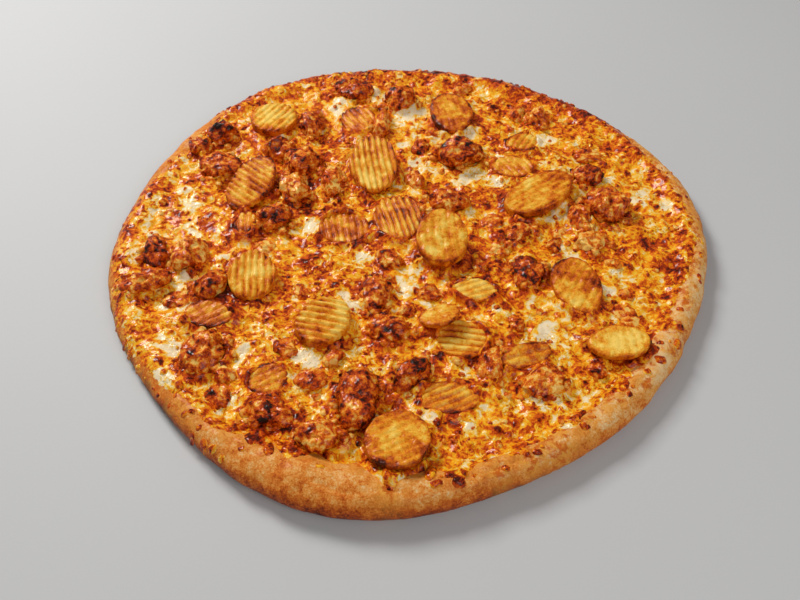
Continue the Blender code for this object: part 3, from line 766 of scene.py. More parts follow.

# %% [markdown]
# Melted cheese is the largest thing in view. Its colours come from what melted where: cream where
# the white cheese lay thick, yellow where the orange cheese pooled, red-brown where oil and sauce
# came up, and dark blisters where it scorched. The big patches are listed one by one, and noise
# frays their edges; the blisters are cell noise at two sizes.

# %% Where the cheese is creamy, yellow and oily
Patch = namedtuple("Patch", "x y size")
PATCH_PUSH = 5
CREAM = [Patch(*row) for row in (
    (-50, 130, 9), (-46, 118, 7), (-21, 142, 8), (-3, 122, 13), (18, 98, 9), (4, 71, 8), (-140, 30, 11),
    (-153, 6, 8), (-163, -15, 7), (-113, -17, 5), (-136, -33, 9), (-58, 9, 4), (-28, -15, 5), (-33, -52, 7),
    (-3, -40, 7), (-56, -90, 8), (-13, -105, 6), (34, -122, 6), (2, -128, 7), (52, -60, 6), (25, -98, 5),
    (94, 18, 11), (97, -12, 7), (128, 52, 8), (147, 35, 7), (90, 93, 10), (57, 50, 7), (32, 52, 9),
    (67, -114, 9), (92, -115, 8), (-131, -80, 8), (-133, -105, 8), (72, -76, 6), (88, -66, 5),
)]
YELLOW = [Patch(*row) for row in (
    (77, -57, 10), (84, -80, 8), (88, 15, 6), (102, 64, 14), (-70, 95, 8), (-45, 125, 6), (-83, -3, 7),
    (-78, -88, 8), (-66, -48, 5), (37, 30, 8), (12, 65, 8), (0, 83, 6), (117, -33, 8), (57, -116, 10),
    (-165, -46, 8), (-157, -64, 8), (-147, -84, 9), (-135, -100, 7), (-32, -70, 9), (-105, -76, 9),
    (-124, -62, 10), (-144, -46, 8), (-53, -112, 9), (0, -153, 10), (107, 17, 10), (121, 3, 9),
    (84, -3, 10), (78, -116, 11), (-112, 119, 9), (-90, -127, 9), (146, -51, 8), (58, 120, 7),
)]
OILY = [Patch(*row) for row in (
    (57, 120, 15), (52, 35, 14), (-15, -98, 9), (152, -15, 20), (-103, -42, 12), (-68, -130, 12),
    (40, -20, 16), (-60, 30, 16), (-60, -20, 14), (-114, 8, 15), (-62, 0, 12), (-76, -54, 12), (158, 0, 12),
    (132, -79, 13), (26, -110, 9), (62, -68, 8), (-10, -22, 14),
)]


def patches(table, x, y, fray=0.9, seed=0):
    """The highest of the patches' soft domes, exp(-(distance / size)^2), on a plane that noise has
    pushed about."""
    push_x = x + PATCH_PUSH * rough(flat(x, y), 9, 3, seed) * fray
    push_y = y + PATCH_PUSH * rough(flat(x, y), 9, 3, seed + 50) * fray
    domes = [np.exp(-((push_x - p.x) ** 2 + (push_y - p.y) ** 2) / p.size**2) for p in table]
    return np.max(domes, axis=0)


print("patches:", len(CREAM), "cream,", len(YELLOW), "yellow and", len(OILY), "oily")

# %% [markdown]
# Where the cheese ends it ran out over the bare rim in drips. Where it boiled it rose in blisters,
# which are domes at the seeds of cell noise. And each topping needs a measure of how near a place
# is to it, because the cheese climbs its sides.

# %% Drips, blisters and nearness
Drip = namedtuple("Drip", "angle spread reach")
DRIPS = [Drip(*row) for row in (
    (233, 5, 9), (241, 2.5, 8), (247, 3, 10), (256, 2, 6), (265, 3.5, 16), (277, 3, 10), (289, 3, 5),
    (300, 2, 4), (313, 3, 6), (325, 3, 7), (334, 2, 8),
)]


def topping_distance(topping, x, y):
    """0 at a topping's middle and 1 on its outline, an ellipse."""
    along, across = axes_of(topping.turn)
    dx, dy = x - topping.x, y - topping.y
    u, v = dx * along[0] + dy * along[1], dx * across[0] + dy * across[1]
    return np.hypot(u / (topping.length / 2), v / (topping.width / 2))


def blisters(x, y, spacing, small, large, share, seed):
    """Domes, 1 - (distance / radius)^2, at a share of cell noise's seeds, on a frayed plane."""
    place = flat(x, y)
    bent = place + 0.9 * np.column_stack([waves(place, 3, seed + 1), waves(place, 3, seed + 2), 0 * x])
    away, owner = cells(bent, spacing, seed)
    radius = small + (large - small) * (owner * 7 % 1)
    return np.clip(1 - (away / radius) ** 2, 0, 1) * (owner < share)


print("drips:", len(DRIPS), "round the front, the longest", max(drip.reach for drip in DRIPS), "mm")

# %% [markdown]
# Melted cheese doesn't stop at a topping. It climbs the topping's side, more in some places than in
# others, and under the topping it is pressed down. All toppings work on one height in turn, so two
# that stand close share one fold between them. Beside a topping the cheese is also painted darker:
# painted shade where the topping shades it, partly oil that gathers there.

# %% Where the cheese meets a topping
NEAR_TOPPING = 9
LOWEST_LAP = 1.3
LAP_VARIES = 1.8
LAP_BY_ROUND = 1.3
LAP_REACH = 2.6
SHADE_BY_ROUND = 2.2
SHADE_BY_CHUNK = 3.6


def against_toppings(x, y, height, edge):
    """(height, painted shade and oil) with the toppings in: outside one the cheese laps up by climb x
    exp(-(distance / 2.6)^2), and inside it is held down to the topping's own plane. The painted shade
    and oil is exp(-(distance / reach)^2) beside each topping: painted shade where the topping shades
    the cheese, partly oil that gathers there."""
    painted_shade_and_oil = np.zeros_like(x)
    climb = LOWEST_LAP + LAP_VARIES * ease(-0.1, 0.5, waves(flat(x, y), 11, 171))
    for name, topping in (ROUNDS | CHUNKS).items():
        q = topping_distance(topping, x, y)
        beyond = (q - 1) * min(topping.length, topping.width) / 2
        near = beyond < NEAR_TOPPING
        seat, slope_x, slope_y = SEATS[name]
        plane = seat + slope_x * (x - topping.x) + slope_y * (y - topping.y)
        outside = np.maximum(beyond, 0)
        lap = climb * (LAP_BY_ROUND if name in ROUNDS else 1.0)
        raised = height + lap * np.exp(-((outside / LAP_REACH) ** 2)) * edge
        under = ease(-0.6, -3.5, beyond)
        sunk = raised * (1 - under) + np.minimum(raised, plane + 1.0) * under
        height = np.where(near, sunk, height)
        # Painted shade beside each topping, partly oil that gathers there: 1 at its outline, less farther
        # out.
        shade_reach = SHADE_BY_ROUND if name in ROUNDS else SHADE_BY_CHUNK
        painted_shade_and_oil = np.maximum(painted_shade_and_oil, np.exp(-((outside / shade_reach) ** 2)))
    return height, painted_shade_and_oil


print("lap against a chunk:", LOWEST_LAP, "to", round(LOWEST_LAP + LAP_VARIES, 1), "mm")

# %% [markdown]
# The surface is shaped in one go: the level, rolling lumps with creases between them, blisters and a
# ragged edge that dives under the crust's skin. How done the cheese is comes from the same patches,
# blisters and toppings, so colour and form agree. It is one function of any places at all, so the
# crumbs, shreds and blisters further down can ask it how high the cheese stands under them.

# %% The cheese's surface
EDGE_DIVE = 1.4
THIN_EDGE = 0.7 * CHEESE_EDGE_THICK


def cheese_surface(x, y):
    """(height, masks) of the cheese: crust + thickness + swell + lumps and blisters, then the
    toppings. Done: 0.485 less for cream and yellow, more for oil, blisters, the edge, and painted shade
    with oil beside the toppings."""
    place = flat(x, y)
    inset, angle = edge_place(x, y)
    bare = round_the_rim(BARE_CRUST, angle)
    full = np.clip((inset - bare) / (rim_width(angle) - bare), 0, 1)
    to_the_edge = ease(9, 5, bare)
    bare = bare - 4 * to_the_edge
    degrees = np.degrees(angle) % 360
    run = sum(d.reach * np.exp(-(((degrees - d.angle) / d.spread) ** 2)) for d in DRIPS)
    wander = 3.0 * rough(place, 8, 3, 61) + run
    cream = patches(CREAM, x, y, seed=71) + 0.42 * rough(place, 10, 4, 73)
    cream += 0.55 * ease(0.3, 0.7, waves(place, 13, 75))
    yellow = patches(YELLOW, x, y, seed=81) + 0.3 * rough(place, 9, 3, 83)
    yellow += 0.9 * ease(0.15, 0.5, waves(place, 11, 85))
    oily = patches(OILY, x, y, seed=91) * 0.7 + 0.45 * rough(place, 14, 4, 93) + 0.12 * (1 - full)
    big = blisters(x, y, 12, 1.6, 4.2, 0.6, 101)
    small = blisters(x, y, 5.5, 0.9, 2.3, 0.7, 111)
    scorch = ease(-0.5, 0.5, rough(place, 22, 3, 121) + 0.35 * (1 - full))
    lumps = 1.8 * rough(place, 14, 2, 131) + 1.7 * (np.abs(waves(place, 7, 141)) - 0.3)
    lift = lumps + 0.2 * waves(place, 3.4, 153) + 0.8 * big * scorch + 0.5 * small * scorch
    edge = ease(-3.0, 5.5, inset - bare + wander)
    thick = -EDGE_DIVE + (EDGE_DIVE + THIN_EDGE) * edge + (CHEESE_THICK - THIN_EDGE) * full
    swell = CHEESE_SWELL * np.sin(x / SWELL_ALONG_X + 1) * np.cos(y / SWELL_ALONG_Y) * full
    height = crust_height(x, y, 1 - full) + thick + swell + lift * edge * (0.4 + 0.6 * full)
    brown = np.maximum(big, small * 0.85) * scorch + 0.3 * ease(0.1, 0.9, rough(place, 3.5, 2, 161)) * scorch
    height, painted_shade_and_oil = against_toppings(x, y, height, edge)
    done = 0.485 - 0.5 * ease(0.1, 0.95, cream) - 0.19 * ease(0.1, 0.7, yellow) + 0.24 * ease(0.0, 0.9, oily)
    at_the_back = (0.5 + 0.5 * np.sin(angle + math.radians(20))) ** 2
    # Beside the toppings the cheese is painted darker: painted shade, partly oil.
    done += 0.36 * brown + 0.17 * painted_shade_and_oil + 0.27 * to_the_edge * ease(0.9, 0.1, full) * at_the_back
    return height, {"doneness": done, "scorch": scorch}


probe, _ = cheese_surface(np.array([0.0, 150.0]), np.array([0.0, 0.0]))
print("cheese stands", probe.round(1), "mm high at the middle and on the right")

# %% [markdown]
# The sheet itself is the bent square from before, its edge just under the crust's skin, closed below
# by a narrow skirt and a flat base, so that it is a solid piece and no open skin.

# %% The cheese's sheet
CHEESE_COUNT = 312
CHEESE_HIDDEN = 14
CHEESE_EDGE_CLEAR = 1.0
SKIRT_TO = 4.0
SKIRT_SHARE = 0.985


def build_cheese(material):
    """The disc r, angle at x, y = r x the cheese's reach that way, with its surface's height, then a
    skirt 0.985 as wide at a height of 4 mm."""
    r, turn = disc(CHEESE_COUNT)
    bare = round_the_rim(BARE_CRUST, turn)
    end = outline_radius(turn) - np.maximum(bare - CHEESE_HIDDEN, CHEESE_EDGE_CLEAR)
    x, y = r * end * np.cos(turn) - MIDDLE[0], r * end * np.sin(turn) - MIDDLE[1]
    height, masks = cheese_surface(x, y)
    top = np.column_stack([x, y, height])
    rim = border(CHEESE_COUNT)
    skirt = top[rim] * [SKIRT_SHARE, SKIRT_SHARE, 0] + [0, 0, SKIRT_TO]
    points = np.vstack([top, skirt])
    low = np.arange(len(rim)) + len(top)
    wall = np.column_stack([rim, low, np.roll(low, -1), np.roll(rim, -1)])
    quads = np.vstack([sheet_quads(CHEESE_COUNT, CHEESE_COUNT), wall])
    masks = {key: np.concatenate([value, value[rim]]) for key, value in masks.items()}
    return make_piece(
        "melted_cheese_skin", points, quads, material, "melted_cheese", ["cheese"], caps=[low[::-1]], **masks
    )


print("cheese cells are", round(2 * MEAN_RADIUS / CHEESE_COUNT, 2), "mm wide")

# %% [markdown]
# On a baked pizza the cheese's colours always follow in one order: cream, yellow, orange, red-brown,
# scorched. So one level holds them all, and two sorts of frayed spots add what ovens do, single
# scorched bubbles and a red lace where fat has run between the curds.

# %% The cheese's finish
def cheese_material():
    """One level from cream through yellow and orange to red-brown and scorched, so that the colours
    follow each other as they do where cheese melts, oils and browns."""
    r = Recipe("melted_cheese", 0.35, coat=0.28, coat_roughness=0.1, subsurface=0.06, shine=0.08)
    fine = r.noise(0.9, 4, 0.7)
    mid = r.noise(4.6, 5, 0.65, 1.2)
    broad = r.noise(12, 4, 0.65, 0.8)
    scorched = r.times(r.spots(3.4, 0.46), r.step(r.sum(r.mask("scorch"), (broad, 1.5)), 0.8, 1.4))
    laced = r.times(r.spots(3.6, 0.55, 2.2), r.step(r.noise(8, 3), 0.47, 0.57))
    spots = r.sum(scorched, (laced, 1.3))
    level = r.sum(
        -1.58, (mid, 1.75), (broad, 1.15), (fine, 0.2), (spots, 0.26), (r.mask("doneness"), 1.0)
    )
    colour = r.ramp(
        level, (0, paint(255, 234, 196)), (0.13, paint(255, 222, 150)), (0.24, paint(255, 198, 52)),
        (0.36, paint(255, 176, 18)), (0.47, paint(245, 140, 14)), (0.59, paint(222, 94, 6)),
        (0.74, paint(180, 54, 4)), (0.9, paint(122, 30, 3)), (1, paint(72, 18, 3)),
    )
    bump = r.sum(fine, (mid, 1.3), (spots, 0.9))
    return r.finish(colour, r.between(mid, 0.2, 0.45), bump, 0.6)


cheese = cheese_material()
cheese_piece = build_cheese(cheese)
done = np.array([value.value for value in cheese_piece.data.attributes["doneness"].data])
print("cheese:", len(cheese_piece.data.polygons), "faces, doneness", np.median(done).round(2))

# %% [markdown]
# A crinkle-cut round is a slab whose two faces carry the same wave, because one waved blade cut both.
# The wave's crests are broad and its valleys narrow. Frying bends the slab a little, makes its edge
# uneven and rounds it, so the face's sheet is carried over a rounded edge, down the wall and back
# under.

# %% The crinkle
CRINKLE_PITCH = 4.2
LAST_CHORD_SHARE = 0.985
VALLEY_POWER = 1.8


def ridge_wave(topping, dx, dy):
    """The crinkle, -1 in a valley to 1 on a crest: a cosine across the ridges with its valleys
    narrowed by a power."""
    ridge, across = axes_of(topping.ridges)
    long_axis, short_axis = axes_of(topping.turn)
    halves = (topping.length / 2, topping.width / 2)
    form = sum(np.outer(axis, axis) / half**2 for axis, half in zip((long_axis, short_axis), halves))
    uu, uv, vv = ridge @ form @ ridge, ridge @ form @ across, across @ form @ across
    widest = math.sqrt(uu / (uu * vv - uv**2))
    step = widest * LAST_CHORD_SHARE / round(2 * widest / CRINKLE_PITCH)
    bent = 0.6 * waves(np.column_stack([dx + topping.x, dy + topping.y, 0 * dx]), 11, 191)
    wave = -np.cos(math.pi * (dx * across[0] + dy * across[1] + bent) / step)
    return 1 - 2 * ((1 - wave) / 2) ** VALLEY_POWER


across_one = ridge_wave(ROUNDS["potato_09"], np.linspace(-8, 8, 60), np.zeros(60))
print("share of a round above its wave's middle:", (across_one > 0).mean().round(2))

# %% [markdown]
# A round is built in layers of one outline: the top face, a few rings down its rounded wall, and the
# under face. The outline is an ellipse made ragged by four sine waves, so no two rounds match.

# %% The potato rounds' form
POTATO_COUNT = 54
EDGE_ROUND = 0.9
FACE_ROUNDING = 0.12
WALL_TURNS = np.radians(np.linspace(0, 180, 9)[1:-1])
LOBE_WAVES = (2, 3, 5, 8)
LOBE_SIZES = (0.035, 0.03, 0.02, 0.012)
OUTLINE_SHARE = 0.985


def round_sheets(name, topping):
    """(points, quads, masks) of one round, closed: z = half the thickness + bend + wave + share x
    (half + grain), the share going from 1 on the top face to -1 on the under face."""
    seed = int(name[-2:]) * 17
    along, across = axes_of(topping.turn)
    seat, slope_x, slope_y = SEATS[name]
    draw = np.random.default_rng(seed)
    lobes = draw.uniform(-1, 1, 4) * LOBE_SIZES
    turns = draw.uniform(0, math.tau, 4)

    def lay(r, turn, z_share, inwards):
        """Points at a share of the way out and a share of the half thickness, drawn inwards a bit."""
        waved = zip(LOBE_WAVES, lobes, turns)
        ragged = OUTLINE_SHARE + sum(size * np.sin(k * turn + start) for k, size, start in waved)
        u = (topping.length / 2 - inwards) * r * np.cos(turn) * ragged
        v = (topping.width / 2 - inwards) * r * np.sin(turn) * ragged
        dx, dy = u * along[0] + v * across[0], u * along[1] + v * across[1]
        fade = np.clip(0.8 + 0.5 * waves(np.column_stack([dx + seed, dy, 0 * dx]), 13, seed), 0.2, 1)
        wave = ridge_wave(topping, dx, dy) * topping.crinkle * fade
        spot = np.column_stack([dx, dy, np.full_like(dx, seed + z_share.mean())])
        pimples = ease(0.9, 0.4, topping.crinkle) * waves(spot, 3, seed + 3)
        grain = 0.35 * rough(spot, 6, 4, seed) + 0.35 * pimples
        bend = 0.5 * waves(spot, 22, seed + 5)
        half = topping.thick / 2 - topping.crinkle
        z = topping.thick / 2 + bend + wave + z_share * (half + grain) + slope_x * dx + slope_y * dy
        groove = ease(0.3, -0.9, wave / topping.crinkle) * (0.25 + 0.75 * ease(0.5, 1.0, topping.crinkle))
        points = np.column_stack([topping.x + dx, topping.y + dy, seat + z])
        low = ease(3.5, 0.5, points[:, 2] - cheese_level(points[:, 0], points[:, 1]))
        return points, groove, low

    r, turn = disc(POTATO_COUNT)
    edge = border(POTATO_COUNT)
    face_share = 1 - FACE_ROUNDING * r**10
    sheets = [lay(r, turn, face_share, EDGE_ROUND)]
    for t in WALL_TURNS:
        share = np.full(len(edge), (1 - FACE_ROUNDING) * np.cos(t))
        sheets.append(lay(r[edge], turn[edge], share, EDGE_ROUND * (1 - np.sin(t))))
    sheets.append(lay(r, turn, -face_share, EDGE_ROUND))
    points = np.vstack([sheet[0] for sheet in sheets])
    walls = [np.ones(len(edge)) * 1.4] * len(WALL_TURNS)
    rim = np.concatenate([ease(0.84, 1.0, r), *walls, ease(0.84, 1.0, r)])
    groove = np.concatenate([sheet[1] for sheet in sheets]) * (rim < 1.1)
    low = np.concatenate([sheet[2] for sheet in sheets])

    count, top = len(edge), len(r)
    loops = [edge] + [top + i * count + np.arange(count) for i in range(len(WALL_TURNS))]
    under = top + len(WALL_TURNS) * count
    loops.append(under + edge)
    bands = [np.column_stack([a, b, np.roll(b, -1), np.roll(a, -1)]) for a, b in zip(loops, loops[1:])]
    face = sheet_quads(POTATO_COUNT, POTATO_COUNT)
    quads = np.vstack([face, *bands, face[:, ::-1] + under])
    return points, quads, {"rim": rim, "groove": groove, "low": low}


print("a round's wall has", len(WALL_TURNS), "rings between its faces")

# %% [markdown]
# Rounds fry unevenly: some stay pale and floury, others go orange and glassy. Each has one tone, and
# the finish goes from pale gold to toffee by it. The valleys hold sauce, and the edge is darkest.

# %% The potato rounds' finish
FLOURY, PALE, GOLDEN, AMBER, SAUCY = -0.1, 0.15, 0.4, 0.65, 0.95
TONES = dict(zip(ROUNDS, (
    SAUCY, SAUCY, PALE, AMBER, AMBER, GOLDEN, GOLDEN, AMBER, AMBER, AMBER, SAUCY, GOLDEN, FLOURY, AMBER,
    PALE, SAUCY, PALE, PALE, PALE, GOLDEN, AMBER, SAUCY, AMBER, AMBER,
)))


def potato_material():
    """One level from pale gold to toffee: the round's tone, deeper in the grooves and at the rim,
    deepest where sauce and oil have soaked in low down."""
    r = Recipe("fried_potato", 0.4, coat=0.16, coat_roughness=0.16, subsurface=0.08, shine=0.12)
    mottle = r.noise(5.5, 5, 0.65)
    fine = r.noise(0.9, 4, 0.7)
    level = r.sum(
        -1.84, (r.mask("tone"), 0.34), (mottle, 1.35), (fine, 0.9), (r.noise(13, 3), 1.7),
        (r.mask("groove"), 0.3), (r.mask("rim"), 0.24), (r.mask("low"), 0.1), (r.spots(2.8, 0.34), 0.1),
    )
    colour = r.ramp(
        level, (0, paint(249, 209, 102)), (0.22, paint(240, 178, 53)), (0.42, paint(229, 139, 20)),
        (0.6, paint(208, 101, 8)), (0.78, paint(169, 64, 5)), (0.9, paint(118, 37, 4)), (1, paint(72, 20, 4)),
    )
    return r.finish(colour, r.between(mottle, 0.25, 0.5), r.sum(fine, (mottle, 1.0)), 0.45)


potato = potato_material()
for name, topping in ROUNDS.items():
    points, quads, masks = round_sheets(name, topping)
    tone = np.full(len(points), TONES[name])
    make_piece("fried_" + name, points, quads, potato, "fried_potato", [name], tone=tone, **masks)
print("a round has", len(quads), "faces")

# %% [markdown]
# Chicken that was pulled or cut, sauced and baked is a lump with torn fibres, crags and scorched
# tips. Each is a distance from its own middle in every direction: an ellipsoid with six lobes, as in
# its solid, then knobs, torn ridges and crumbs of noise. It is cut back smoothly where it meets a
# neighbour.

# %% The chunks' form
CHUNK_CENTRE_SHARE = 0.38
CHUNK_LUMPS = 6
LUMP_SPREAD = 0.30
HOLLOW_SHARE = 0.84
LUMP_RISE = 0.24
FOOTPRINT_MARGIN = 1.12
GAP = 0.3


def chunk_middle(name, chunk):
    """The point that a chunk is measured from: over its place, 0.38 of its height up from its seat."""
    return np.array([chunk.x, chunk.y, SEATS[name][0] + CHUNK_CENTRE_SHARE * chunk.height])


def walls_of(name, chunk):
    """Planes that a chunk stays behind, as (outward normal, distance from its middle)."""
    centre = chunk_middle(name, chunk)
    height, slope_x, slope_y = SEATS[name]
    down = np.array([slope_x, slope_y, -1.0]) / math.sqrt(1 + slope_x**2 + slope_y**2)
    walls = [(down, (centre[2] - height) * -down[2])]
    for other_name, other in (ROUNDS | CHUNKS).items():
        offset = np.array([other.x, other.y]) - centre[:2]
        away = math.hypot(*offset)
        side = offset / max(away, 1e-9)
        mine, its = reach(chunk, side) * FOOTPRINT_MARGIN, reach(other, side) * FOOTPRINT_MARGIN
        if other is chunk or away > mine + its + 2 * GAP:
            continue
        if isinstance(other, Chunk):
            walls.append((np.array([*side, 0.0]), away * mine / (mine + its)))
            continue
        beside = away - reach(other, side)
        seat, sx, sy = SEATS[other_name]
        up = np.array([-sx, -sy, 1.0]) / math.sqrt(1 + sx**2 + sy**2)
        below = (np.array([other.x, other.y, seat]) - centre) @ up
        if beside / mine >= below / ((1 - CHUNK_CENTRE_SHARE) * chunk.height):
            walls.append((np.array([*side, 0.0]), beside))
        else:
            walls.append((up, below))
    return walls


print("chicken_01 stays behind", len(walls_of("chicken_01", CHUNKS["chicken_01"])), "planes")

# %% [markdown]
# A lump's skin is its ellipsoid with lobes, then crags. Noise folded by its absolute value has sharp
# ridges, which is how torn fibres stand up, and the same noise the other way up has sharp creases
# between round knobs, which is how minced crumbs pack.

# %% The chunks' skin
LOWEST_LOOK = math.radians(-62)
SKIN_SHARE = 0.97
CUT_SOFTNESS = 0.6


def lump_radius(length, width, height, local, seed):
    """An ellipsoid's radius x (0.84 + 0.24 x the nearest lobe's dome)."""
    sizes = np.array([length / 2, width / 2, (1 - CHUNK_CENTRE_SHARE) * height])
    radius = 1 / np.sqrt(((local / sizes) ** 2).sum(-1))
    lobes = np.random.default_rng(seed).normal(size=(CHUNK_LUMPS, 3))
    lobes /= np.linalg.norm(lobes, axis=1)[:, None]
    domes = np.exp(-(((1 - local @ lobes.T) / LUMP_SPREAD) ** 2))
    return radius * (HOLLOW_SHARE + LUMP_RISE * domes.max(axis=-1))


def crags(points, seed, size=1.0):
    """(relief in mm, how raised -1 to 1): torn edges of 10 mm noise and fibres of 4.2 mm noise,
    0.6 - 2 |noise|, which is sharp on its crests; knobs, 2 |noise| - 0.7, parted by creases; and
    crumbs of 1.4 mm noise."""
    bent = points + 2.0 * waves(points, 6, seed)[:, None]
    torn = 0.6 - 2 * np.abs(waves(bent * [0.6, 1.2, 1.0], 10 * size, seed + 3))
    fibres = 0.6 - 2 * np.abs(waves(bent * [0.4, 1.4, 1.1], 4.2 * size, seed + 7))
    knobs = 2 * np.abs(waves(bent, 5 * size, seed + 5)) - 0.7
    crumbs = rough(points, 1.4, 2, seed + 9)
    relief = size * (1.8 * torn + 0.6 * fibres + 0.5 * knobs) + 0.16 * crumbs
    return relief, np.clip(0.7 * torn + 0.4 * fibres + 0.2 * knobs, -1, 1)


def lump_sheet(count, centre, turn, shape, seed, walls, crag=1.0):
    """(points, quads, caps, masks) of a lump: middle + direction x radius, the disc sheet wrapped
    from its top to under its waist, with the rest closed flat. Each wall cuts the radius r to
    r - 0.6 log(1 + exp((r - limit) / 0.6)), a smooth least of the two."""
    r, angle = disc(count)
    look = math.pi / 2 - r * (math.pi / 2 - LOWEST_LOOK)
    direction = np.column_stack([np.cos(look) * np.cos(angle), np.cos(look) * np.sin(angle), np.sin(look)])
    along, across = axes_of(turn)
    local = np.column_stack([direction[:, :2] @ along, direction[:, :2] @ across, direction[:, 2]])
    radius = lump_radius(*shape, local, seed)
    relief, raised = crags(local * radius[:, None] + seed * 31.0, seed, crag)
    radius = radius * SKIN_SHARE + relief
    for normal, distance in walls:
        facing = direction @ normal
        limit = np.where(facing > 0.02, distance / np.maximum(facing, 0.02), 1e3)
        radius = radius - CUT_SOFTNESS * np.logaddexp(0, (radius - limit) / CUT_SOFTNESS)
    points = centre + direction * np.maximum(radius, 0.5)[:, None]
    low = ease(4.0, 0.0, points[:, 2] - cheese_level(points[:, 0], points[:, 1]))
    tip = raised + 0.3 * local[:, 2]
    masks = {"raised": raised, "tip": tip, "low": low}
    return points, sheet_quads(count, count), [border(count)[::-1]], masks


print("a lump reaches", round(math.degrees(-LOWEST_LOOK)), "degrees below its waist")

# %% [markdown]
# The finish goes from orange-brown sauced meat through dark toasted crags to black tips. How far a
# chunk went is its char, and the parts that stand out char first. Some chunks show pale meat, and
# all are sauced with cheese low down.

# %% The chunks' finish
Look = namedtuple("Look", "char pale")
LOOKS = numbered("chicken", Look, (
    (0.60, 0.1), (0.50, 0.0), (0.25, 0.0), (0.95, 0.4), (0.10, 0.1), (0.80, 0.0), (0.60, 0.0), (0.40, 0.0),
    (0.70, 0.1), (0.50, 0.1), (0.80, 0.4), (1.00, 0.3), (0.45, 0.3), (0.25, 0.2), (1.00, 0.7), (0.55, 0.2),
    (0.70, 0.3), (0.60, 0.0), (0.85, 0.8), (0.30, 0.9), (0.85, 0.0), (0.10, 0.2), (0.85, 0.0), (0.45, 0.1),
    (0.75, 0.4), (0.60, 0.2), (0.65, 0.2), (0.40, 0.2), (0.35, 0.1), (1.00, 0.0), (0.80, 0.7), (0.75, 0.1),
    (0.60, 0.0), (0.35, 0.2),
))
CHUNK_COUNT = 78


def chicken_material():
    """One level from pale meat through orange sauce and toasted brown to black: deeper with the
    chunk's char and at its tips, drawn back to orange low down where cheese has run, with a little
    painted shade, and sauce, in the creases between the crests."""
    r = Recipe("sauced_chicken", 0.42, coat=0.3, coat_roughness=0.12, subsurface=0.04, shine=0.08)
    mottle = r.noise(4.2, 3, 0.6, 0.4)
    fine = r.noise(0.9, 4, 0.7)
    broad = r.noise(9, 3, 0.6)
    char = r.mask("char")
    charred_tip = r.times(r.mask("tip"), r.sum(0.06, (char, 0.3)))
    # The raised term lightens the crests against the creases: painted shade in the creases, partly sauce
    # lying there.
    level = r.sum(
        -1.92, (mottle, 2.4), (fine, 0.85), (broad, 1.2), (char, 0.3), (charred_tip, 1.0),
        (r.mask("raised"), -0.1), (r.mask("pale"), -0.3), (r.mask("low"), -0.1),
    )
    colour = r.ramp(
        level, (0, paint(252, 204, 106)), (0.2, paint(244, 156, 44)), (0.38, paint(226, 106, 14)),
        (0.55, paint(196, 70, 5)), (0.72, paint(144, 40, 4)), (0.88, paint(76, 22, 5)), (1, paint(30, 12, 6)),
    )
    return r.finish(colour, r.between(mottle, 0.26, 0.52), r.sum(fine, (mottle, 1.2)), 0.6)


chicken = chicken_material()
for name, chunk in CHUNKS.items():
    shape = (chunk.length, chunk.width, chunk.height)
    centre = chunk_middle(name, chunk)
    walls = walls_of(name, chunk)
    points, quads, caps, masks = lump_sheet(CHUNK_COUNT, centre, chunk.turn, shape, chunk.seed, walls)
    for key, value in LOOKS[name]._asdict().items():
        masks[key] = np.full(len(points), value)
    make_piece("sauced_" + name, points, quads, chicken, "sauced_chicken", [name], caps, **masks)
print("a chunk has", len(quads), "faces")

# %% [markdown]
# Lesser bits of chicken sank into the cheese as it melted. Their places are the mounds of the
# cheese's solid. Each is a chunk's skin on a coarser sheet, and all of them are one joined piece.

# %% Bits of chicken
Bit = namedtuple("Bit", "x y size height")
BITS = [Bit(*row) for row in (
    (38, 153, 15, 5), (76, 123, 15, 5), (6, 86, 15, 5), (3, 53, 16, 6), (16, 102, 10, 3), (50, 14, 17, 3),
    (86, -6, 12, 4), (91, 6, 10, 4), (52, -11, 13, 4), (40, -24, 12, 4), (-13, -17, 16, 5),
    (-88, -8, 15, 3), (-63, -43, 13, 4), (-69, -83, 15, 4), (-43, -90, 13, 4), (-101, -115, 17, 5),
    (-99, -101, 13, 4), (10, -43, 15, 5), (-4, -57, 12, 4), (57, -66, 12, 4), (98, -98, 11, 5),
    (121, -60, 22, 3), (119, -21, 10, 4), (122, -45, 10, 4), (118, 78, 19, 3), (-53, -103, 18, 3),
    (-134, -48, 18, 2),
)]
BIT_COUNT = 40


def cheese_height(x, y):
    """The cheese's height at a list of places."""
    return cheese_surface(np.atleast_1d(np.float64(x)), np.atleast_1d(np.float64(y)))[0]


def sunk_lump(x, y, level, size, height, count, seed, turn, look):
    """A small lump half sunk in the cheese: a chunk's skin round a point 0.1 of its height down, with
    one flat wall 1.5 mm below that."""
    centre = np.array([x, y, level - 0.1 * height])
    walls = [(np.array([0, 0, -1.0]), 1.5)]
    shape = (size * 1.1, size * 0.8, height * 1.5)
    points, quads, caps, masks = lump_sheet(count, centre, turn, shape, seed, walls, 0.55)
    for key, value in look._asdict().items():
        masks[key] = np.full(len(points), value)
    return points, quads, caps, masks


def build_bits(material):
    """Every bit as a half sunk lump on the cheese, joined in one piece; look and turn by the draw."""
    draw = np.random.default_rng(77)
    levels = cheese_height([b.x for b in BITS], [b.y for b in BITS])
    lumps = []
    for i, (bit, level) in enumerate(zip(BITS, levels)):
        look = Look(draw.uniform(0.2, 0.8), draw.uniform(0, 0.5))
        turn = draw.uniform(0, 180)
        lumps.append(sunk_lump(bit.x, bit.y, level, bit.size, bit.height, BIT_COUNT, 200 + i, turn, look))
    points, quads, caps, masks = join_sheets(lumps)
    return make_piece("chicken_bits", points, quads, material, "sauced_chicken", (), caps, **masks)


bits_piece = build_bits(chicken)
print("bits:", len(bits_piece.data.polygons), "faces")

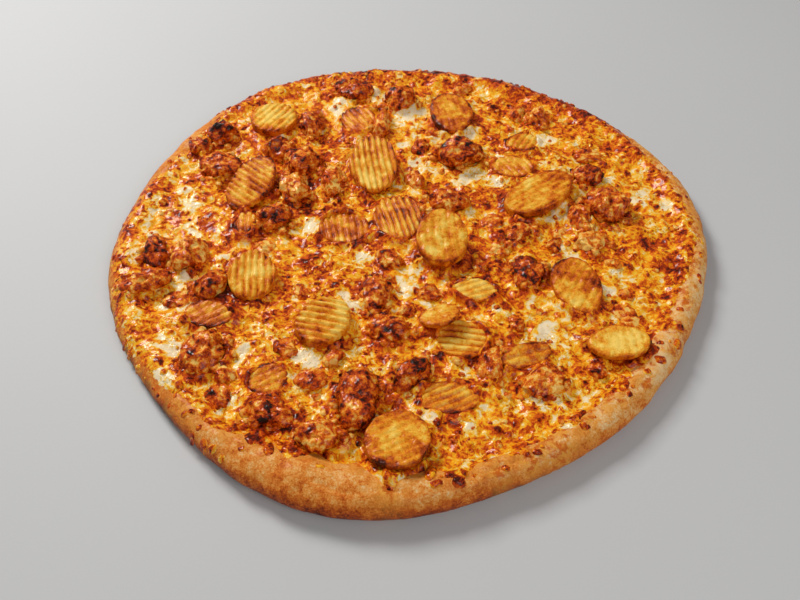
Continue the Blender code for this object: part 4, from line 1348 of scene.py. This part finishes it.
# %% [markdown]
# Torn crumbs lie round every chunk and thinly elsewhere, by a seeded draw. They hide the line where
# a chunk meets the cheese, as they do on a real pizza. There are hundreds, so each is a sheet of
# 8 by 8 points.

# %% Crumbs of chicken
CRUMBS_PER_CHUNK = 9
CRUMBS_ELSEWHERE = 150
CRUMB_COUNT = 8


def anywhere(draw, total, clear):
    """Places spread evenly over the cheese: radius x the square root of an even draw, kept when
    they are clear of the toppings by a share of their size."""
    angle = draw.uniform(0, math.tau, total * 3)
    edge = outline_radius(angle) - round_the_rim(BARE_CRUST, angle) - 2
    out = np.sqrt(draw.uniform(0, 1, len(angle))) * edge
    x, y = out * np.cos(angle) - MIDDLE[0], out * np.sin(angle) - MIDDLE[1]
    distance = np.min([topping_distance(t, x, y) for t in (ROUNDS | CHUNKS).values()], axis=0)
    kept = np.flatnonzero(distance > clear)[:total]
    return x[kept], y[kept]


def round_the_chunks(draw):
    """Places in a ring just outside each chunk's outline, off the potato."""
    places = []
    for chunk in CHUNKS.values():
        along, across = axes_of(chunk.turn)
        turn = draw.uniform(0, math.tau, CRUMBS_PER_CHUNK)
        out = draw.uniform(0.9, 1.3, CRUMBS_PER_CHUNK)
        u, v = chunk.length / 2 * out * np.cos(turn), chunk.width / 2 * out * np.sin(turn)
        places.append(np.array([chunk.x, chunk.y]) + np.outer(u, along) + np.outer(v, across))
    x, y = np.vstack(places).T
    inset, _ = edge_place(x, y)
    potato_distance = np.min([topping_distance(t, x, y) for t in ROUNDS.values()], axis=0)
    kept = (potato_distance > 1.08) & (inset > 6)
    return x[kept], y[kept]


def build_crumbs(material):
    """Crumbs 3.5 to 8 mm long round the chunks and 2 to 5 mm elsewhere, joined in one piece."""
    draw = np.random.default_rng(78)
    near, far = round_the_chunks(draw), anywhere(draw, CRUMBS_ELSEWHERE, 1.15)
    x, y = np.concatenate([near[0], far[0]]), np.concatenate([near[1], far[1]])
    levels = cheese_height(x, y)
    lumps = []
    for i in range(len(x)):
        size = draw.uniform(3.5, 8.0) if i < len(near[0]) else draw.uniform(2.0, 5.0)
        look, turn = Look(draw.uniform(0.1, 0.7), draw.uniform(0, 0.4)), draw.uniform(0, 180)
        lumps.append(sunk_lump(x[i], y[i], levels[i], size, 0.35 * size, CRUMB_COUNT, 300 + i, turn, look))
    points, quads, caps, masks = join_sheets(lumps)
    return make_piece("chicken_crumbs", points, quads, material, "sauced_chicken", (), caps, **masks)


crumbs_piece = build_crumbs(chicken)
print("crumbs:", len(crumbs_piece.data.polygons), "faces")

# %% [markdown]
# The cheese went on as shreds, and some kept their form: low ribbons of cream, yellow or orange.
# Others rose and scorched into brown blisters, and some dripped on the bare rim. All are small closed
# shells draped on the pizza's own surface, a dome high in the middle and sunk at the border. There
# are hundreds of them, so each has a few dozen faces.

# %% Shells draped on the pizza
SHELL_TAPER = 0.55
SHELL_SINK = 0.3
SHELL_BASE = 0.9


def draped(x, y, length, width, height, turn, bend, rows, columns):
    """Many small shells laid on the pizza, each a top sheet and an under sheet: (points, how high the
    dome is at each, the cheese's masks there). The dome is height x sqrt((1 - u^4)(1 - v^4)) less a
    sink, over u and v from -1 to 1, made lumpy by noise, its middle line bent to a parabola."""
    u, v = np.meshgrid(np.linspace(-1, 1, rows), np.linspace(-1, 1, columns), indexing="ij")
    u, v = u.ravel()[None], v.ravel()[None]
    taper = np.sqrt(1 - SHELL_TAPER * u**2)
    du = u * length[:, None] / 2 * np.sqrt(1 - 0.3 * v**2)
    dv = v * width[:, None] / 2 * taper + bend[:, None] * u**2
    c, s = np.cos(turn)[:, None], np.sin(turn)[:, None]
    px, py = x[:, None] + du * c - dv * s, y[:, None] + du * s + dv * c
    surface, masks = cheese_surface(px.ravel(), py.ravel())
    surface = np.maximum(surface, crust_height(px.ravel(), py.ravel())).reshape(px.shape)
    lumpy = 1 + 0.5 * waves(flat(px.ravel(), py.ravel()), 2.2, 201).reshape(px.shape)
    dome = height[:, None] * lumpy * np.sqrt((1 - u**4) * (1 - v**4)) - SHELL_SINK
    top = np.stack([px, py, surface + dome], axis=-1)
    under = np.stack([px, py, surface - SHELL_BASE], axis=-1)
    points = np.concatenate([top, under], axis=1).reshape(-1, 3)
    masks = {key: np.tile(value.reshape(px.shape), (1, 2)).ravel() for key, value in masks.items()}
    return points, np.tile(dome, (1, 2)).ravel(), masks


def draped_piece(name, material, rows, columns, points, masks):
    """One piece of many shells: top sheet, wall and under sheet, the same quads for each shell."""
    face = sheet_quads(rows, columns)
    count = rows * columns
    index = np.arange(count).reshape(rows, columns)
    edge = np.concatenate([index[:-1, 0], index[-1, :-1], index[:0:-1, -1], index[0, :0:-1]])
    wall = np.column_stack([edge, edge + count, np.roll(edge, -1) + count, np.roll(edge, -1)])
    shell = np.vstack([face[:, ::-1], wall, face + count])
    starts = np.arange(0, len(points), 2 * count)
    quads = (starts[:, None, None] + shell).reshape(-1, 4)
    return make_piece(name, points, quads, material, "melted_cheese", **masks)


print("a shell of 7 x 4 points has two sheets of", len(sheet_quads(7, 4)), "faces and a wall")

# %% [markdown]
# Shreds lie anywhere on the cheese that isn't cream, because there the white cheese has melted flat.
# Each is a little lighter than what it lies on.

# %% Shreds
SHREDS = 420
SHRED_GRID = (7, 4)
CREAM_BELOW = 0.2


def build_shreds(material):
    """Ribbons 4 to 12 mm long and 2 to 4 mm wide at seeded places, with a seeded turn and bend."""
    draw = np.random.default_rng(91)
    x, y = anywhere(draw, SHREDS, 0.98)
    _, masks = cheese_surface(x, y)
    kept = masks["doneness"] > CREAM_BELOW
    x, y, n = x[kept], y[kept], kept.sum()
    length, width = draw.uniform(4, 12, n), draw.uniform(2.0, 4.0, n)
    height, turn, bend = draw.uniform(0.2, 0.6, n), draw.uniform(0, math.pi, n), draw.normal(0, 1.0, n)
    points, _, masks = draped(x, y, length, width, height, turn, bend, *SHRED_GRID)
    lighter = draw.uniform(-0.05, 0.25, n)
    masks["doneness"] = masks["doneness"] - np.repeat(lighter, 2 * math.prod(SHRED_GRID))
    return draped_piece("cheese_shreds", material, *SHRED_GRID, points, masks)


shreds_piece = build_shreds(cheese)
print("shreds:", len(shreds_piece.data.polygons), "faces")

# %% [markdown]
# Blisters come by a seeded draw, most of them small, on the cheese and along its edge. The drips and
# drops on the bare rim are in plain view one by one, so those are given in a table, one by one.

# %% Blisters and drips
BLISTERS = 240
EDGE_BLISTERS = 150
BLISTER_GRID = (6, 6)
TALLEST_BLISTER = 1.6
Blob = namedtuple("Blob", "x y length width turn done")
BLOBS = [Blob(*row) for row in (
    (-78, -139, 12, 16, 0, 0.8), (-71, -147, 6, 12, 10, 0.7), (-61, -144, 9, 13, 0, 0.66),
    (-89, -136, 5, 4, 30, 0.82), (-85, -133, 7, 4, 30, 0.6), (-99, -130, 10, 10, 0, 0.5),
    (-104, -143, 4, 6, 30, 0.7), (-99, -146, 5, 4, 0, 0.7), (-111, -138, 3.5, 3.5, 0, 0.8),
    (-107, -135, 4, 3.5, 0, 0.7), (-116, -127, 4, 3.5, 0, 0.72), (-94, -151, 4, 3, 0, 0.66),
    (21, -166, 7, 6, 0, 0.8), (17, -162, 6, 5, 0, 0.76), (10, -167, 8, 4, 20, 0.58),
    (-13, -163, 5, 12, 0, 0.56), (8, -160, 13, 6, 75, 0.52), (99, -98, 9, 8, 0, 0.85),
    (147, -71, 6, 5, 0, 0.7), (144, -81, 7, 5, 60, 0.66), (132, -93, 7, 5, 0, 0.7),
    (123, -101, 5, 4, 0, 0.7), (150, -58, 5, 4, 0, 0.66), (-84, -148, 4, 3, 0, 0.62),
    (-112, -126, 4, 3, 0, 0.6), (-45, -158, 5, 3, 0, 0.58), (60, -149, 6, 4, 0, 0.62),
)]


def build_blisters(material):
    """Brown shells 1.4 to 5.8 mm long by the draw, the square of an even draw, and those of the table;
    0.4 mm + 0.2 x their width high, and browned most where the dome is highest."""
    draw = np.random.default_rng(92)
    x, y = anywhere(draw, BLISTERS, 1.0)
    angle = draw.uniform(0, math.tau, EDGE_BLISTERS)
    bare = round_the_rim(BARE_CRUST, angle)
    out = outline_radius(angle) - np.maximum(bare + draw.uniform(-8, 5, EDGE_BLISTERS), 1.5)
    x = np.concatenate([x, out * np.cos(angle) - MIDDLE[0]])
    y = np.concatenate([y, out * np.sin(angle) - MIDDLE[1]])
    n = len(x)
    length = draw.uniform(1.2, 2.4, n) ** 2
    width = length * draw.uniform(0.6, 1.1, n)
    turn, done = draw.uniform(0, math.pi, n), draw.uniform(0.45, 0.75, n)
    blobs = np.array(BLOBS).T
    x, y, length, width = (np.concatenate([a, b]) for a, b in zip((x, y, length, width), blobs))
    turn, done = np.concatenate([turn, np.radians(blobs[4])]), np.concatenate([done, blobs[5]])
    height = np.minimum(0.4 + 0.2 * np.minimum(length, width), TALLEST_BLISTER)
    points, dome, masks = draped(x, y, length, width, height, turn, 0 * x, *BLISTER_GRID)
    strength = np.repeat(done, 2 * math.prod(BLISTER_GRID))
    darker = np.clip(strength - masks["doneness"], -0.3, 0.6)
    masks["doneness"] = masks["doneness"] + darker * ease(-0.35, 0.45, dome)
    return draped_piece("browned_blisters", material, *BLISTER_GRID, points, masks)


blisters_piece = build_blisters(cheese)
print("blisters:", len(blisters_piece.data.polygons), "faces")
